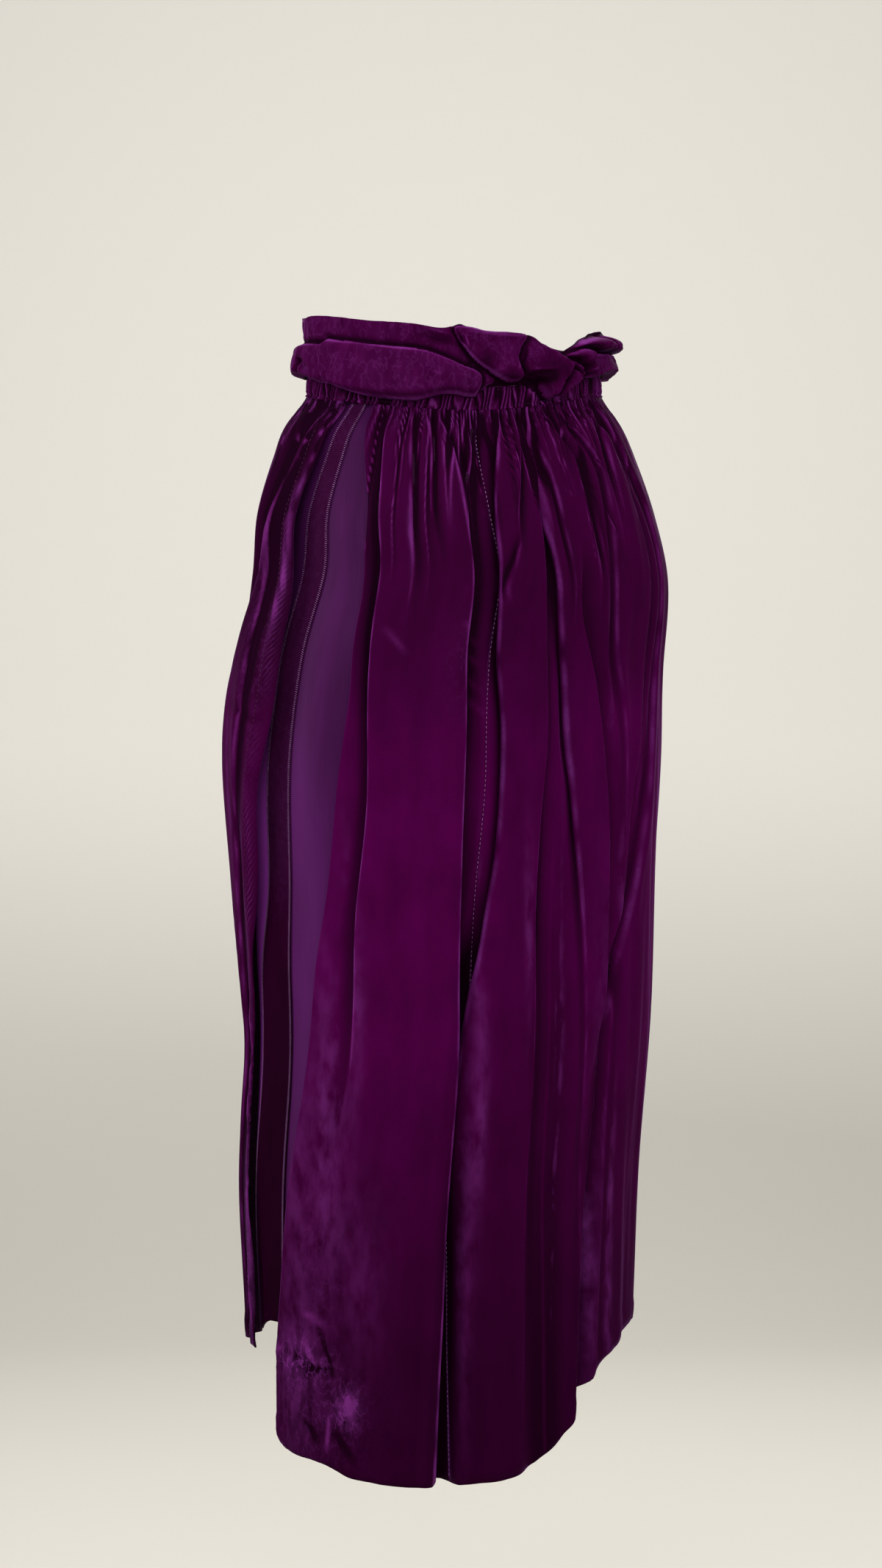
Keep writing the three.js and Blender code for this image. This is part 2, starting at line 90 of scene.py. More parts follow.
# Ring of the drape at each height: half widths, and how far its middle drifts
RINGS = table("z across deep drift_x drift_y", [
    (-800, 147, 121, 13, 0),
    (-690, 151, 124, 13, 0),
    (-590, 156, 126, 13, 0),
    (-476, 161, 125, 7.5, 3),
    (-377, 169.5, 126, 9, 2),
    (-280, 177, 128, 10, 2),
    (-212, 175, 126, 7, 4),
    (-146, 169, 122, -2, 7),
    (-96, 161, 118, 0, 4),
    (-47, 144, 108, 0, 1),
    (-30, 136, 102, 0, 0),
    (-8, 119, 90, 0, 0),
    (0, 117, 88, 0, 0),
    (60, 117, 88, 0, 0),
])

# Hem height by azimuth: long at the back, short at the front, with rounded corners
HEM = table("azimuth z", [
    (60, -703), (78, -704), (84, -716), (88, -742), (93, -766), (99, -773), (110, -778),
    (119, -787), (134, -791), (150, -791), (165, -790), (175, -786), (184, -777), (190, -768),
    (196, -751), (203, -733), (211, -717), (220, -709), (232, -700), (250, -696), (300, -692),
    (400, -694), (420, -703), (438, -704), (444, -706),
])

# Azimuths of the slit's edges, the back seam, the underlap and its band, and how far the
# underlap lies inside the panels, by height
EDGES = table(
    "z slit_back slit_front back_seam under_front under_back band_front band_back inset", [
    (-800, 92, 82, 148, 66, 118, 70, 90, 9),
    (-700, 93, 82, 148, 67, 118, 71, 91.5, 9),
    (-640, 97.5, 83, 148.5, 72, 119, 77, 94, 9),
    (-530, 104, 80.5, 149, 75, 121, 82.5, 96, 9),
    (-440, 108, 85, 151.5, 79, 124, 85, 97, 10),
    (-375, 113, 92.5, 154, 85, 128, 91, 99.5, 12),
    (-300, 117, 95.5, 157, 88, 131, 93, 101, 14),
    (-245, 119, 99.5, 157, 89, 132, 95, 102.5, 14),
    (-180, 118, 99.5, 156, 90, 133, 96, 103.5, 14),
    (-140, 117.5, 98, 155.5, 91, 133, 97, 104.5, 14),
    (-100, 118, 98.5, 154.5, 92, 132, 98.5, 105, 13),
    (-20, 113, 103, 153.5, 92, 128, 105, 110, 3.5),
    (20, 113, 103, 153.5, 92, 128, 105, 110, 3.5),
])


def fold(side, width, lap, rows, turn=2.2, shine=1.0):
    """A fold: its turning edge and depth by height, from the hem up. Side 1 has the valley
    towards higher azimuths. The lap is how far the edge hangs over the valley, the turn is how
    round the edge is, and the shine is how strong the painted highlight on its edge and the
    painted shade in its valley are."""
    line = table("z azimuth depth", rows)
    return {
        "side": side, "width": width * MM_PER_DEGREE, "lap": lap, "turn": turn, "shine": shine,
        "azimuth": curve_of(line["z"], line["azimuth"]),
        "depth": curve_of(line["z"], line["depth"]),
    }


def smooth(x, low, high):
    t = np.clip((x - low) / (high - low), 0, 1)
    return t * t * (3 - 2 * t)


def mix(a, b, t):
    return a + (b - a) * t


def bell(x, width):
    return np.exp(-(x / width) ** 2)


def spots(places, azimuth, z):
    """The sum of soft spots in a table, each with its middle, reach and strength."""
    total = np.zeros_like(azimuth)
    for at, height, around, tall, strength in zip(*places.values()):
        total += strength * bell(azimuth - at, around) * bell(z - height, tall)
    return total


def gap_to_line(x, y, start, end):
    """How far points lie from a line, and how far along it, from 0 to 1."""
    long_x, long_y = end[0] - start[0], end[1] - start[1]
    from_x, from_y = x - start[0], y - start[1]
    along = np.clip((from_x * long_x + from_y * long_y) / (long_x ** 2 + long_y ** 2 + 1e-9), 0, 1)
    return np.hypot(from_x - along * long_x, from_y - along * long_y), along


def crowded(samples, crowd, count, endpoint=True):
    """A number of samples, closer together where the crowd is larger."""
    total = np.concatenate([[0], np.cumsum((crowd[1:] + crowd[:-1]) / 2)])
    return np.interp(np.linspace(0, total[-1], count, endpoint=endpoint), total, samples)


def curve_of(x, y):
    """A smooth curve through the points of a table, for a number or an array."""
    slope = np.empty(len(y))
    slope[1:-1] = (y[2:] - y[:-2]) / (x[2:] - x[:-2])
    slope[0] = (y[1] - y[0]) / (x[1] - x[0])
    slope[-1] = (y[-1] - y[-2]) / (x[-1] - x[-2])

    def value(at):
        here = np.clip(at, x[0], x[-1])
        i = np.clip(np.searchsorted(x, here, side="right") - 1, 0, len(x) - 2)
        span = x[i + 1] - x[i]
        t = (here - x[i]) / span
        ends = (1 + 2 * t) * (1 - t) ** 2 * y[i] + t * t * (3 - 2 * t) * y[i + 1]
        return ends + span * t * (1 - t) * ((1 - t) * slope[i] - t * slope[i + 1])

    return value


def vary(index, salt):
    """A repeatable number from 0 to 1 for each whole number."""
    wave = np.sin(np.asarray(index, dtype=float) * 12.9898 + salt * 78.233) * 43758.5453
    return wave - np.floor(wave)


FOLDS = {
    "slit flange": fold(-1, 6.5, 3, [
        (-790, 104, 0), (-600, 112, 0), (-513, 116.3, 1), (-459, 118, 3), (-392, 120.5, 5),
        (-306, 125, 6.5), (-219, 124, 6.5), (-168, 122.5, 5.5), (-99, 122, 4), (-20, 119.5, 3)]),
    "left tuck": fold(1, 5, 2.5, [
        (-790, 131, 0), (-200, 130.5, 0), (-128, 130.2, 2.5), (-99, 130, 4), (-34, 128, 5),
        (-20, 127.5, 4)]),
    "short tuck": fold(1, 5, 2.5, [
        (-790, 138, 0), (-160, 138, 0), (-95, 136, 3), (-54, 135.5, 5), (-32, 133.2, 5),
        (-20, 132, 4)]),
    "dart fold": fold(1, 5, 3, [
        (-790, 146, 0), (-150, 146, 0), (-118, 145.6, 2), (-98, 145, 4), (-72, 144, 6),
        (-54, 142, 6), (-34, 138, 5), (-20, 137, 4)]),
    "inner dart fold": fold(1, 4, 0.8, [
        (-790, 145, 0), (-110, 145, 0), (-75, 145.5, 2), (-50, 147, 5), (-34, 148.5, 5),
        (-20, 149, 4)]),
    "main fold": fold(1, 10, 5, [
        (-790, 141, 26), (-734, 142.2, 24), (-644, 144.3, 21), (-535, 145.4, 17), (-444, 146, 14),
        (-350, 147.8, 12), (-264, 149, 10), (-185, 147, 8), (-118, 145.8, 7), (-71, 148.3, 6),
        (-35, 151.2, 4), (-20, 151.5, 3)]),
    "seam fold": fold(-1, 4, 1.2, [
        (-790, 160, 0), (-100, 160.5, 0), (-60, 159.5, 3), (-41, 158, 5), (-20, 157, 4)]),
    "centre fold": fold(-1, 8, 4.5, [
        (-790, 147, 0), (-640, 148, 2), (-545, 150, 6), (-461, 152.4, 8), (-398, 157.8, 9),
        (-341, 163, 10), (-264, 164.7, 10), (-201, 161, 9), (-145, 158.6, 8), (-81, 160.5, 6),
        (-30, 165.3, 5), (-20, 166, 4)]),
    "branch fold": fold(-1, 4, 2, [
        (-790, 166, 0), (-172, 161, 0), (-158, 160.5, 3), (-135, 163.5, 3), (-118, 166, 0),
        (-20, 168, 0)]),
    "fork fold": fold(1, 4.5, 2, [
        (-790, 166, 0), (-140, 165, 0), (-103, 166, 3), (-69, 169.6, 5), (-42, 171.3, 5),
        (-20, 171.5, 4)]),
    "short right tuck": fold(1, 3.5, 1.5, [
        (-790, 172, 0), (-110, 172, 0), (-80, 172.5, 2.5), (-50, 173.8, 4), (-20, 174, 3)]),
    "right valley, left edge": fold(1, 6, 4, [
        (-790, 174, 0), (-437, 174.7, 2), (-376, 175, 4), (-324, 175.8, 6), (-263, 177.8, 8),
        (-210, 176.4, 8), (-149, 172.6, 7), (-113, 173.9, 6), (-63, 176.8, 5), (-20, 175, 4)]),
    "right valley, right edge": fold(-1, 7, 4, [
        (-790, 197, 0), (-430, 196, 2), (-307, 192.5, 6), (-268, 190, 8), (-217, 187.3, 8),
        (-165, 181.6, 7), (-113, 178.4, 6), (-45, 178.6, 4), (-20, 178, 3)]),
    "second right edge": fold(-1, 4, 1.5, [
        (-790, 188, 0), (-190, 187, 0), (-125, 184.6, 3), (-88, 183.6, 4), (-60, 181, 2),
        (-20, 180, 0)]),
    "soft ridge, left side": fold(-1, 12, 0, [
        (-790, 184, 6), (-600, 181.5, 5), (-430, 180.5, 4), (-300, 182.3, 0),
        (-20, 184, 0)], turn=8, shine=0.25),
    "soft ridge, right side": fold(1, 12, 0, [
        (-790, 184, 5), (-600, 181.5, 5), (-430, 180.5, 4), (-300, 182.3, 0),
        (-20, 184, 0)], turn=8, shine=0.25),
    "slanting tuck": fold(1, 6, 2.5, [
        (-790, 199, 0), (-180, 198, 0), (-102, 196.8, 4), (-66, 195.9, 6), (-50, 192.8, 6),
        (-30, 189, 5), (-20, 187, 4)]),
    "hip fold": fold(1, 9, 2, [
        (-790, 195, 22), (-734, 196, 18), (-643, 198.3, 14), (-523, 203.2, 10), (-413, 206, 8),
        (-325, 206.4, 6), (-263, 203, 5), (-226, 199, 4), (-165, 190, 3), (-120, 190, 0),
        (-20, 186, 0)], shine=0.5),
    "right tuck": fold(-1, 7, 1.5, [
        (-790, 218, 0), (-330, 217, 1), (-262, 216.3, 3), (-198, 209.6, 4), (-145, 206.8, 4),
        (-91, 210.6, 4), (-63, 210, 4), (-28, 198, 4), (-20, 196, 3)], shine=0.5),
    "last right tuck": fold(-1, 5, 2, [
        (-790, 216, 0), (-110, 216, 0), (-46, 218.2, 4), (-20, 224, 4)]),
    "side fold": fold(-1, 8, 1.5, [
        (-790, 198, 0), (-600, 203, 2), (-488, 207.2, 6), (-441, 214, 7), (-388, 222.7, 7),
        (-326, 229.7, 6), (-252, 235, 6), (-120, 238, 4), (-20, 226, 5)], shine=0.5),
    "inner side fold": fold(1, 6, 2.5, [
        (-790, 206, 0), (-480, 211, 2), (-361, 218, 4), (-298, 221.8, 4), (-267, 224.5, 4),
        (-120, 226, 2), (-20, 220, 4)], shine=0.6),
    "slit roll": fold(-1, 11, 3, [
        (-790, 426, 0), (-600, 428, 0), (-430, 430, 2), (-260, 433, 5), (-120, 446, 8),
        (-20, 456, 3)]),
    "front edge roll": fold(1, 8, 1.5, [
        (-790, 430, 2), (-600, 430, 2), (-430, 434, 3), (-260, 446, 3), (-120, 448, 3),
        (-20, 456, 0)]),
}

# The front and the right side carry folds like those of the back: some fade towards the hem,
# some start below the hips, and they sway and vary
SIDE_FOLDS = {
    "first": 249, "last": 424, "count": 14, "depth": 11, "width": 10, "lap": 3, "sway": 15,
    "swing": 1.1, "jitter": 7, "shine": 0.5}
SIDE_HEIGHTS = (-790, -600, -430, -260, -120, -20)
SIDE_DEPTH_SHARES = (1, 0.8, 0.75, 0.7, 0.5, 0.4)
FADE_TO_HEM = (0, 0.1, 0.6, 1, 1, 1)
FADE_TO_WAIST = (1, 1, 0.8, 0.3, 0, 0)


def side_folds():
    made = {}
    size = SIDE_FOLDS
    for i in range(size["count"]):
        middle = mix(size["first"], size["last"], i / (size["count"] - 1))
        middle += size["jitter"] * (vary(i, 9) - 0.5)
        grow = 0.5 + 0.8 * vary(i, 1)
        fade = (FADE_TO_HEM, FADE_TO_WAIST, (1,) * 6)[int(3 * vary(i, 6))]
        rows = []
        for k, z in enumerate(SIDE_HEIGHTS):
            sway = size["sway"] * (vary(i, 2) - 0.5) * math.sin(k * size["swing"] + i)
            rows.append((z, middle + sway, size["depth"] * SIDE_DEPTH_SHARES[k] * fade[k] * grow))
        side = 1 if i < size["count"] / 2 else -1
        width = size["width"] * (0.7 + 0.6 * vary(i, 3))
        made[f"side fold {i + 1}"] = fold(side, width, size["lap"] * vary(i, 4), rows,
                                          turn=2.4 + 5 * vary(i, 5), shine=size["shine"])
    return made


FOLDS.update(side_folds())

ring = {name: curve_of(RINGS["z"], RINGS[name]) for name in RINGS}
edge = {name: curve_of(EDGES["z"], EDGES[name]) for name in EDGES}
hem_height = curve_of(HEM["azimuth"], HEM["z"])


def casing_line(azimuth):
    away = np.radians(azimuth - DIP_AZIMUTH)
    return -WIDE_DIP * np.cos(away) - NARROW_DIP * (1 + np.cos(2 * away))


def on_ring(azimuth, z, out):
    """Points on the drape's ring, moved out by a distance."""
    level = z - casing_line(azimuth) * smooth(z, *DIP_FADE)
    x = np.sin(np.radians(azimuth))
    y = -np.cos(np.radians(azimuth))
    radius = 1 / np.hypot(x / ring["across"](level), y / ring["deep"](level))
    return np.stack([
        ring["drift_x"](level) + x * (radius + out),
        ring["drift_y"](level) + y * (radius + out),
        z + np.zeros_like(radius),
    ], axis=-1)


# A fold's cross-section: how proud its crest stands, and the depth that gives it its full lap
CREST_SHARE = 0.12
FULL_LAP_DEPTH = 7
# Painted highlight on each fold's turning edge, its half width and strength, and the strength of
# painted shade in its valley
RIM_WIDTH = 0.75
RIM_SHINE = 1.15
VALLEY_SHADE = 0.9


def fold_gap(one, azimuth, z):
    """Millimetres from a fold's turning edge, above zero on its valley's side."""
    return one["side"] * (azimuth - one["azimuth"](z)) * MM_PER_DEGREE


def fold_form(azimuth, z):
    """How far the folds push the cloth in, and how far they slide it sideways in degrees."""
    inward = np.zeros_like(azimuth)
    aside = np.zeros_like(azimuth)
    for one in FOLDS.values():
        gap = fold_gap(one, azimuth, z)
        wide, turn = one["width"], one["turn"]
        depth = np.maximum(one["depth"](z), 0)
        valley = smooth(gap, -turn, turn) * (1 - smooth(gap, 0.4 * wide, wide))
        crest = bell(gap + 2.2 * turn, 1.8 * turn)
        inward += depth * (valley - CREST_SHARE * crest)
        rise = 0.5 - 0.5 * np.cos(np.pi * np.clip((gap + 0.5 * wide) / (0.5 * wide), 0, 1))
        cross = np.cos(np.pi * np.clip(gap / (2 * turn), 0, 1))
        ease = 0.5 + 0.5 * np.cos(np.pi * np.clip((gap - 2 * turn) / (wide - 2 * turn), 0, 1))
        slide = np.where(gap < 0, rise, np.where(gap < 2 * turn, cross, -ease))
        aside += one["side"] * one["lap"] / MM_PER_DEGREE * smooth(depth, 1, FULL_LAP_DEPTH) * slide
    return inward, aside


def fold_painted_light(azimuth, z):
    """Painted light along the folds: painted highlights on the turning edges, above zero,
    and painted shade in the valleys, below zero."""
    shown = np.zeros_like(azimuth)
    for number, one in enumerate(FOLDS.values()):
        gap = fold_gap(one, azimuth, z)
        strength = one["shine"] * np.clip(np.maximum(one["depth"](z), 0) / 5, 0, 1)
        broken = 0.55 + 0.3 * np.sin(z * 0.051 + number * 2.3) + 0.25 * np.sin(z * 0.19 + number)
        rim = bell(gap + 0.6, RIM_WIDTH) * broken * (one["lap"] > 0)
        valley = smooth(gap, 0.3, 2.5) * (1 - smooth(gap, 0.25 * one["width"], 0.8 * one["width"]))
        shown += strength * (RIM_SHINE * rim - VALLEY_SHADE * valley)
    return shown


# Gathers under the casing: coarse ones reach far down, fine ones end soon
GATHERS = table("spacing depth reach", [
    (6.1, 2.2, 95),
    (3.3, 1.5, 55),
    (1.9, 1, 26),
])
# Half widths of the painted highlight on a gather's lip and of the painted shade in its groove
GATHER_LIP_WIDTH = 0.42
GATHER_GROOVE_WIDTH = 1.1


def gather_form(azimuth, below):
    """How far the gathers draw the cloth in, with painted highlights on their lips and painted
    shade in their grooves.
    """
    inward = np.zeros_like(azimuth)
    shine = np.zeros_like(azimuth)
    for layer, (spacing, depth, reach) in enumerate(zip(*GATHERS.values())):
        slant = 0.012 * below * np.sin(azimuth * 0.21 + layer)
        uneven_by = 0.4 * np.sin(azimuth * 0.33 + layer) + 0.2 * np.sin(azimuth * 0.9)
        phase = (azimuth + slant) / spacing + uneven_by
        index = np.floor(phase)
        length = reach * (0.4 + 1.2 * vary(index, 4 + layer))
        strength = (0.5 + 0.9 * vary(index, 8 + layer)) * (1 - smooth(below, 4, length + 8))
        inward += depth * strength * smooth(below, -2, 8) * (1 - np.abs(np.cos(np.pi * phase)))
        across = (phase - index) * spacing * 2
        lip = bell(across - 0.8 * spacing, GATHER_LIP_WIDTH)
        groove = bell(across - 1.04 * spacing, GATHER_GROOVE_WIDTH)
        shine += depth / 2.2 * strength * (1.2 * lip - 0.7 * groove)
    return inward, shine


# Slow unevenness of hanging velvet: size, waves round the skirt per degree, and per millimetre down
UNEVEN = table("size round down start", [
    (0.9, 0.23, 0.006, 0.3),
    (0.7, 0.37, -0.009, 1.9),
    (0.35, 0.71, 0.014, 4.1),
    (0.12, 1.3, -0.021, 2.6),
])


def uneven(azimuth, z):
    out = np.zeros_like(azimuth)
    for size, round_, down, start in zip(*UNEVEN.values()):
        out += size * np.sin(azimuth * round_ + z * down + start)
    return out


# Small creases: from one end to the other, height (ridges above zero) and width
CREASES = table("azimuth_a z_a azimuth_b z_b height width", [
    (93.4, -703, 96, -697, 1.6, 3),
    (96, -697, 104.7, -710, -2.2, 3.5),
    (104.7, -710, 112.6, -713, -2, 3.5),
    (105, -672, 110, -678, 1.2, 4),
    (108, -676, 113, -713, -1.5, 4),
    (104, -690, 108, -708, 1.2, 3),
    (116, -722, 121, -744, 1.8, 7),
    (103, -748, 108, -762, -1.3, 5),
    (112, -744, 111, -768, 1.3, 5),
    (113, -755, 119, -774, -1.2, 5),
    (122, -764, 138, -752, 1.2, 9),
    (126, -190, 132, -206, 0.5, 2.5),
    (146, -186, 150, -192, 0.9, 2.5),
    (149, -190, 153, -200, 0.8, 2.5),
    (150, -205, 154, -214, 0.8, 2.5),
    (151, -222, 155, -232, 0.7, 2.5),
    (152, -238, 156, -248, 0.7, 2.5),
    (417, -490, 427, -490, -5, 32),
    (440, -545, 444, -549, -1.6, 3),
    (441, -575, 443, -630, 1.6, 3),
    (436, -440, 443, -500, 1.4, 2.5),
    (440, -500, 437, -545, 1.4, 2.5),
    (437, -640, 441, -700, 1.5, 2.5),
    (441, -240, 455, -253, -1.3, 3),
    (454.6, -51, 445.3, -140, 1.8, 3),
    (457, -104, 454.6, -191, 1.5, 2.5),
])
# Strength of the painted highlight and shade along the small creases
CREASE_SHINE = 0.45


def crease_form(azimuth, z):
    """How far the small creases stand out, with painted highlights along their ridges and painted
    shade along their hollows.
    """
    out = np.zeros_like(azimuth)
    shine = np.zeros_like(azimuth)
    for a, za, b, zb, height, width in zip(*CREASES.values()):
        start, end = (a * MM_PER_DEGREE, za), (b * MM_PER_DEGREE, zb)
        gap, along = gap_to_line(azimuth * MM_PER_DEGREE, z, start, end)
        fade = np.sin(np.pi * np.clip(0.12 + 0.76 * along, 0, 1))
        out += height * bell(gap, width) * fade
        slanting = abs(end[0] - start[0]) / math.dist(start, end)
        thin = 0.12 * width + 0.6 + 1.6 * slanting
        shine += CREASE_SHINE * np.clip(height, -0.6, 1.5) * bell(gap, thin) * fade * (width < 6)
    return out, shine


# Places where the cloth is crushed: middle, reach and strength
CRUSHED = table("azimuth z around tall strength", [
    (102, -706, 9, 15, 1),
    (117, -737, 4.5, 14, 1),
    (105, -752, 14, 34, 0.25),
    (110, -640, 8, 60, 0.15),
    (152, -26, 5, 9, 0.8),
    (150, -215, 5, 40, 0.25),
    (440, -560, 6, 120, 0.5),
    (450, -200, 6, 90, 0.3),
])
WAIST_CRUSHED = 0.45


def crushed_at(azimuth, z):
    share = WAIST_CRUSHED * (1 - smooth(top_of_panel(azimuth) - z, 0, 26))
    return np.clip(share + spots(CRUSHED, azimuth, z), 0, 1)


def crumple(azimuth, z):
    """Small sharp lumps of crushed cloth."""
    wave = np.sin(azimuth * 2.1 + z * 0.31) * np.sin(z * 0.37 - azimuth * 1.3)
    return 0.9 * wave + 0.5 * np.abs(np.sin(azimuth * 1.1 - z * 0.23 + 1.7))


# The back seam pulls the cloth in a little
SEAM_GROOVE = 0.9
SEAM_GROOVE_WIDTH = 1.6

# Turned edges: how far a hem stands proud, and how wide it is
HEM_PROUD = 0.7
HEM_WIDTH = 16
SLIT_HEM_WIDTH = 13


def slit_gap(azimuth, z):
    """Distance from the nearer edge of the slit."""
    back = np.abs(azimuth - edge["slit_back"](z))
    front = np.abs(azimuth - 360 - edge["slit_front"](z))
    return np.minimum(back, front) * MM_PER_DEGREE


def top_of_panel(azimuth):
    return casing_line(azimuth) - CASING_HEIGHT / 2 - SEAM_GAP


def panel_rows(count):
    """Shares from the waist to the hem, closer together near the waist."""
    t = np.linspace(0, 1, count)
    return 0.35 * t ** 2 + 0.65 * t


# How much closer the columns of a panel stand at a fold's edge, how finely that is worked out,
# and the height of the hem where the search for each row's ends begins
CROWDING = 3
GRID_SAMPLES = 700
HEM_GUESS = -780.0


def panel_grid(from_azimuth, to_azimuth, columns, rows):
    """Azimuth and height of every point, with columns crowded along the folds' edges."""
    downs = panel_rows(rows)
    azimuths = np.empty((rows, columns))
    heights = np.empty((rows, columns))
    for row, down in enumerate(downs):
        ends = []
        for end in (from_azimuth, to_azimuth):
            z = HEM_GUESS * down
            for _ in range(5):
                at = float(end(z))
                z = mix(top_of_panel(at), hem_height(at), down)
            ends.append(at)
        az = np.linspace(*ends, GRID_SAMPLES)
        z = mix(top_of_panel(az), hem_height(az), down)
        crowd = np.ones(GRID_SAMPLES)
        for one in FOLDS.values():
            near = bell(fold_gap(one, az, z) - 1, 1.8 * one["turn"])
            crowd += CROWDING * np.clip(one["depth"](z) / 6, 0, 1.2) * near
        azimuths[row] = crowded(az, crowd, columns)
        heights[row] = mix(top_of_panel(azimuths[row]), hem_height(azimuths[row]), down)
    return azimuths, heights


# How far under the casing the folds, the unevenness and the crumples start and are whole
SETTLED = {"folds": (0, 30), "uneven": (10, 90), "crumples": (2, 14)}


def velvet_points(azimuth, z):
    """The cloth of the panels, by azimuth and height."""
    below = top_of_panel(azimuth) - z
    settle = smooth(below, *SETTLED["folds"])
    inward, aside = fold_form(azimuth, z)
    inward = inward * settle + gather_form(azimuth, below)[0]
    out = uneven(azimuth, z) * smooth(below, *SETTLED["uneven"]) + crease_form(azimuth, z)[0]
    out += crushed_at(azimuth, z) * crumple(azimuth, z) * smooth(below, *SETTLED["crumples"])
    from_seam = (azimuth - edge["back_seam"](z)) * MM_PER_DEGREE
    out -= SEAM_GROOVE * bell(from_seam, SEAM_GROOVE_WIDTH)
    lift = z - hem_height(azimuth)
    out += HEM_PROUD * (1 - smooth(lift, HEM_WIDTH - 3, HEM_WIDTH)) * smooth(lift, -2, 3)
    from_slit = slit_gap(azimuth, z)
    out += HEM_PROUD * (1 - smooth(from_slit, SLIT_HEM_WIDTH - 2, SLIT_HEM_WIDTH))
    return on_ring(azimuth + aside * settle, z, out - inward)


def srgb(code):
    """Linear colour from an sRGB hex value."""
    parts = [int(code[i:i + 2], 16) / 255 for i in (1, 3, 5)]
    return [p / 12.92 if p <= 0.04045 else ((p + 0.055) / 1.055) ** 2.4 for p in parts] + [1]


def add_node(tree, kind, inputs=None, stops=(), **settings):
    """Add a node with its settings, its plain input values and its links, and the stops of its
    colour ramp, if it has one, by position and sRGB tone."""
    node = tree.nodes.new(kind)
    for name, value in settings.items():
        setattr(node, name, value)
    for i, (position, tone) in enumerate(stops):
        node.color_ramp.elements[i].position = position
        node.color_ramp.elements[i].color = srgb(tone)
    for name, value in (inputs or {}).items():
        if isinstance(value, bpy.types.NodeSocket):
            tree.links.new(value, node.inputs[name])
        else:
            node.inputs[name].default_value = value
    return node


def place(name, data):
    """A new object in the scene."""
    placed = bpy.data.objects.new(name, data)
    bpy.context.scene.collection.objects.link(placed)
    return placed


def new_material(name):
    material = bpy.data.materials.new(name)
    material.use_nodes = True
    material.node_tree.nodes.clear()
    return material, material.node_tree


def grains(tree, where, size, detail=2, stretch=(1, 1, 1)):
    """A cloudy pattern whose grains are about this size across, in the units of its place."""
    scale = [1 / (size * s) for s in stretch]
    mapped = add_node(tree, "ShaderNodeMapping", {"Vector": where, "Scale": scale})
    made = add_node(tree, "ShaderNodeTexNoise", {
        "Vector": mapped.outputs["Vector"], "Scale": 1, "Detail": detail, "Roughness": 0.55})
    return made.outputs["Fac"]


def finish_surface(tree, colour, shine, relief=None):
    """End a material in its shader. The relief is its pattern, strength and depth in metres."""
    inputs = {"Base Color": colour, **shine}
    if relief:
        values = dict(zip(("Height", "Strength", "Distance"), relief))
        inputs["Normal"] = add_node(tree, "ShaderNodeBump", values).outputs["Normal"]
    shader = add_node(tree, "ShaderNodeBsdfPrincipled", inputs)
    add_node(tree, "ShaderNodeOutputMaterial", {"Surface": shader.outputs["BSDF"]})


# Puckers of the slit's stitched hem slant across it this far apart
PUCKER_SPACING = 4.6
PUCKER_SLANT = -1.1


# How the velvet's patterns and attributes are put together: each result with its operation, its
# values and whether it is held from 0 to 1
# The pale result carries painted highlights from the folds, gathers, creases, puckers and pale
# patches, with lines of crushed cloth; the dark result carries painted shade with the hollows of
# crushed cloth
PILE_SUMS = [
    ("patchy", "MULTIPLY_ADD", ("patches", 3.6, -1.2), True),
    ("from_middle", "SUBTRACT", ("broken", 0.5), False),
    ("from_middle", "ABSOLUTE", ("from_middle",), False),
    ("line", "MULTIPLY_ADD", ("from_middle", -28, 1), True),
    ("wave", "MULTIPLY_ADD", ("broken", 9, "slanted"), False),
    ("wave", "SINE", ("wave",), False),
    ("wave", "MULTIPLY_ADD", ("wave", 0.5, 0.5), False),
    ("wave", "POWER", ("wave", 3), False),
    ("pinched", "MULTIPLY", ("wave", "pucker"), False),
    ("tufts", "MULTIPLY_ADD", ("grain", 1.4, 0.3), False),
    ("grained_painted_light", "MULTIPLY", ("nap_and_painted_light", "tufts"), False),
    ("swept_and_highlit", "MULTIPLY", ("brushed_and_highlit", "patchy"), False),
    ("lines", "MULTIPLY", ("patchy", 0.3), False),
    ("lines", "MULTIPLY_ADD", ("line", 0.7, "lines"), False),
    ("creased", "MULTIPLY", ("crushed", "lines"), False),
    ("pale", "MULTIPLY_ADD", ("pinched", 0.55, "grained_painted_light"), False),
    ("pale", "ADD", ("pale", "swept_and_highlit"), False),
    ("pale", "ADD", ("pale", "creased"), True),
    ("hollow", "SUBTRACT", (1, "patchy"), False),
    ("hollow", "MULTIPLY", ("crushed", "hollow"), False),
    ("dark", "MULTIPLY_ADD", ("hollow", 0.45, "shade"), False),
    ("dark", "SUBTRACT", ("dark", "nap_and_painted_light"), True),
    ("height", "ADD", ("pinched", "creased"), False),
    ("height", "MULTIPLY_ADD", ("height", 1.5, "grain"), False),
]


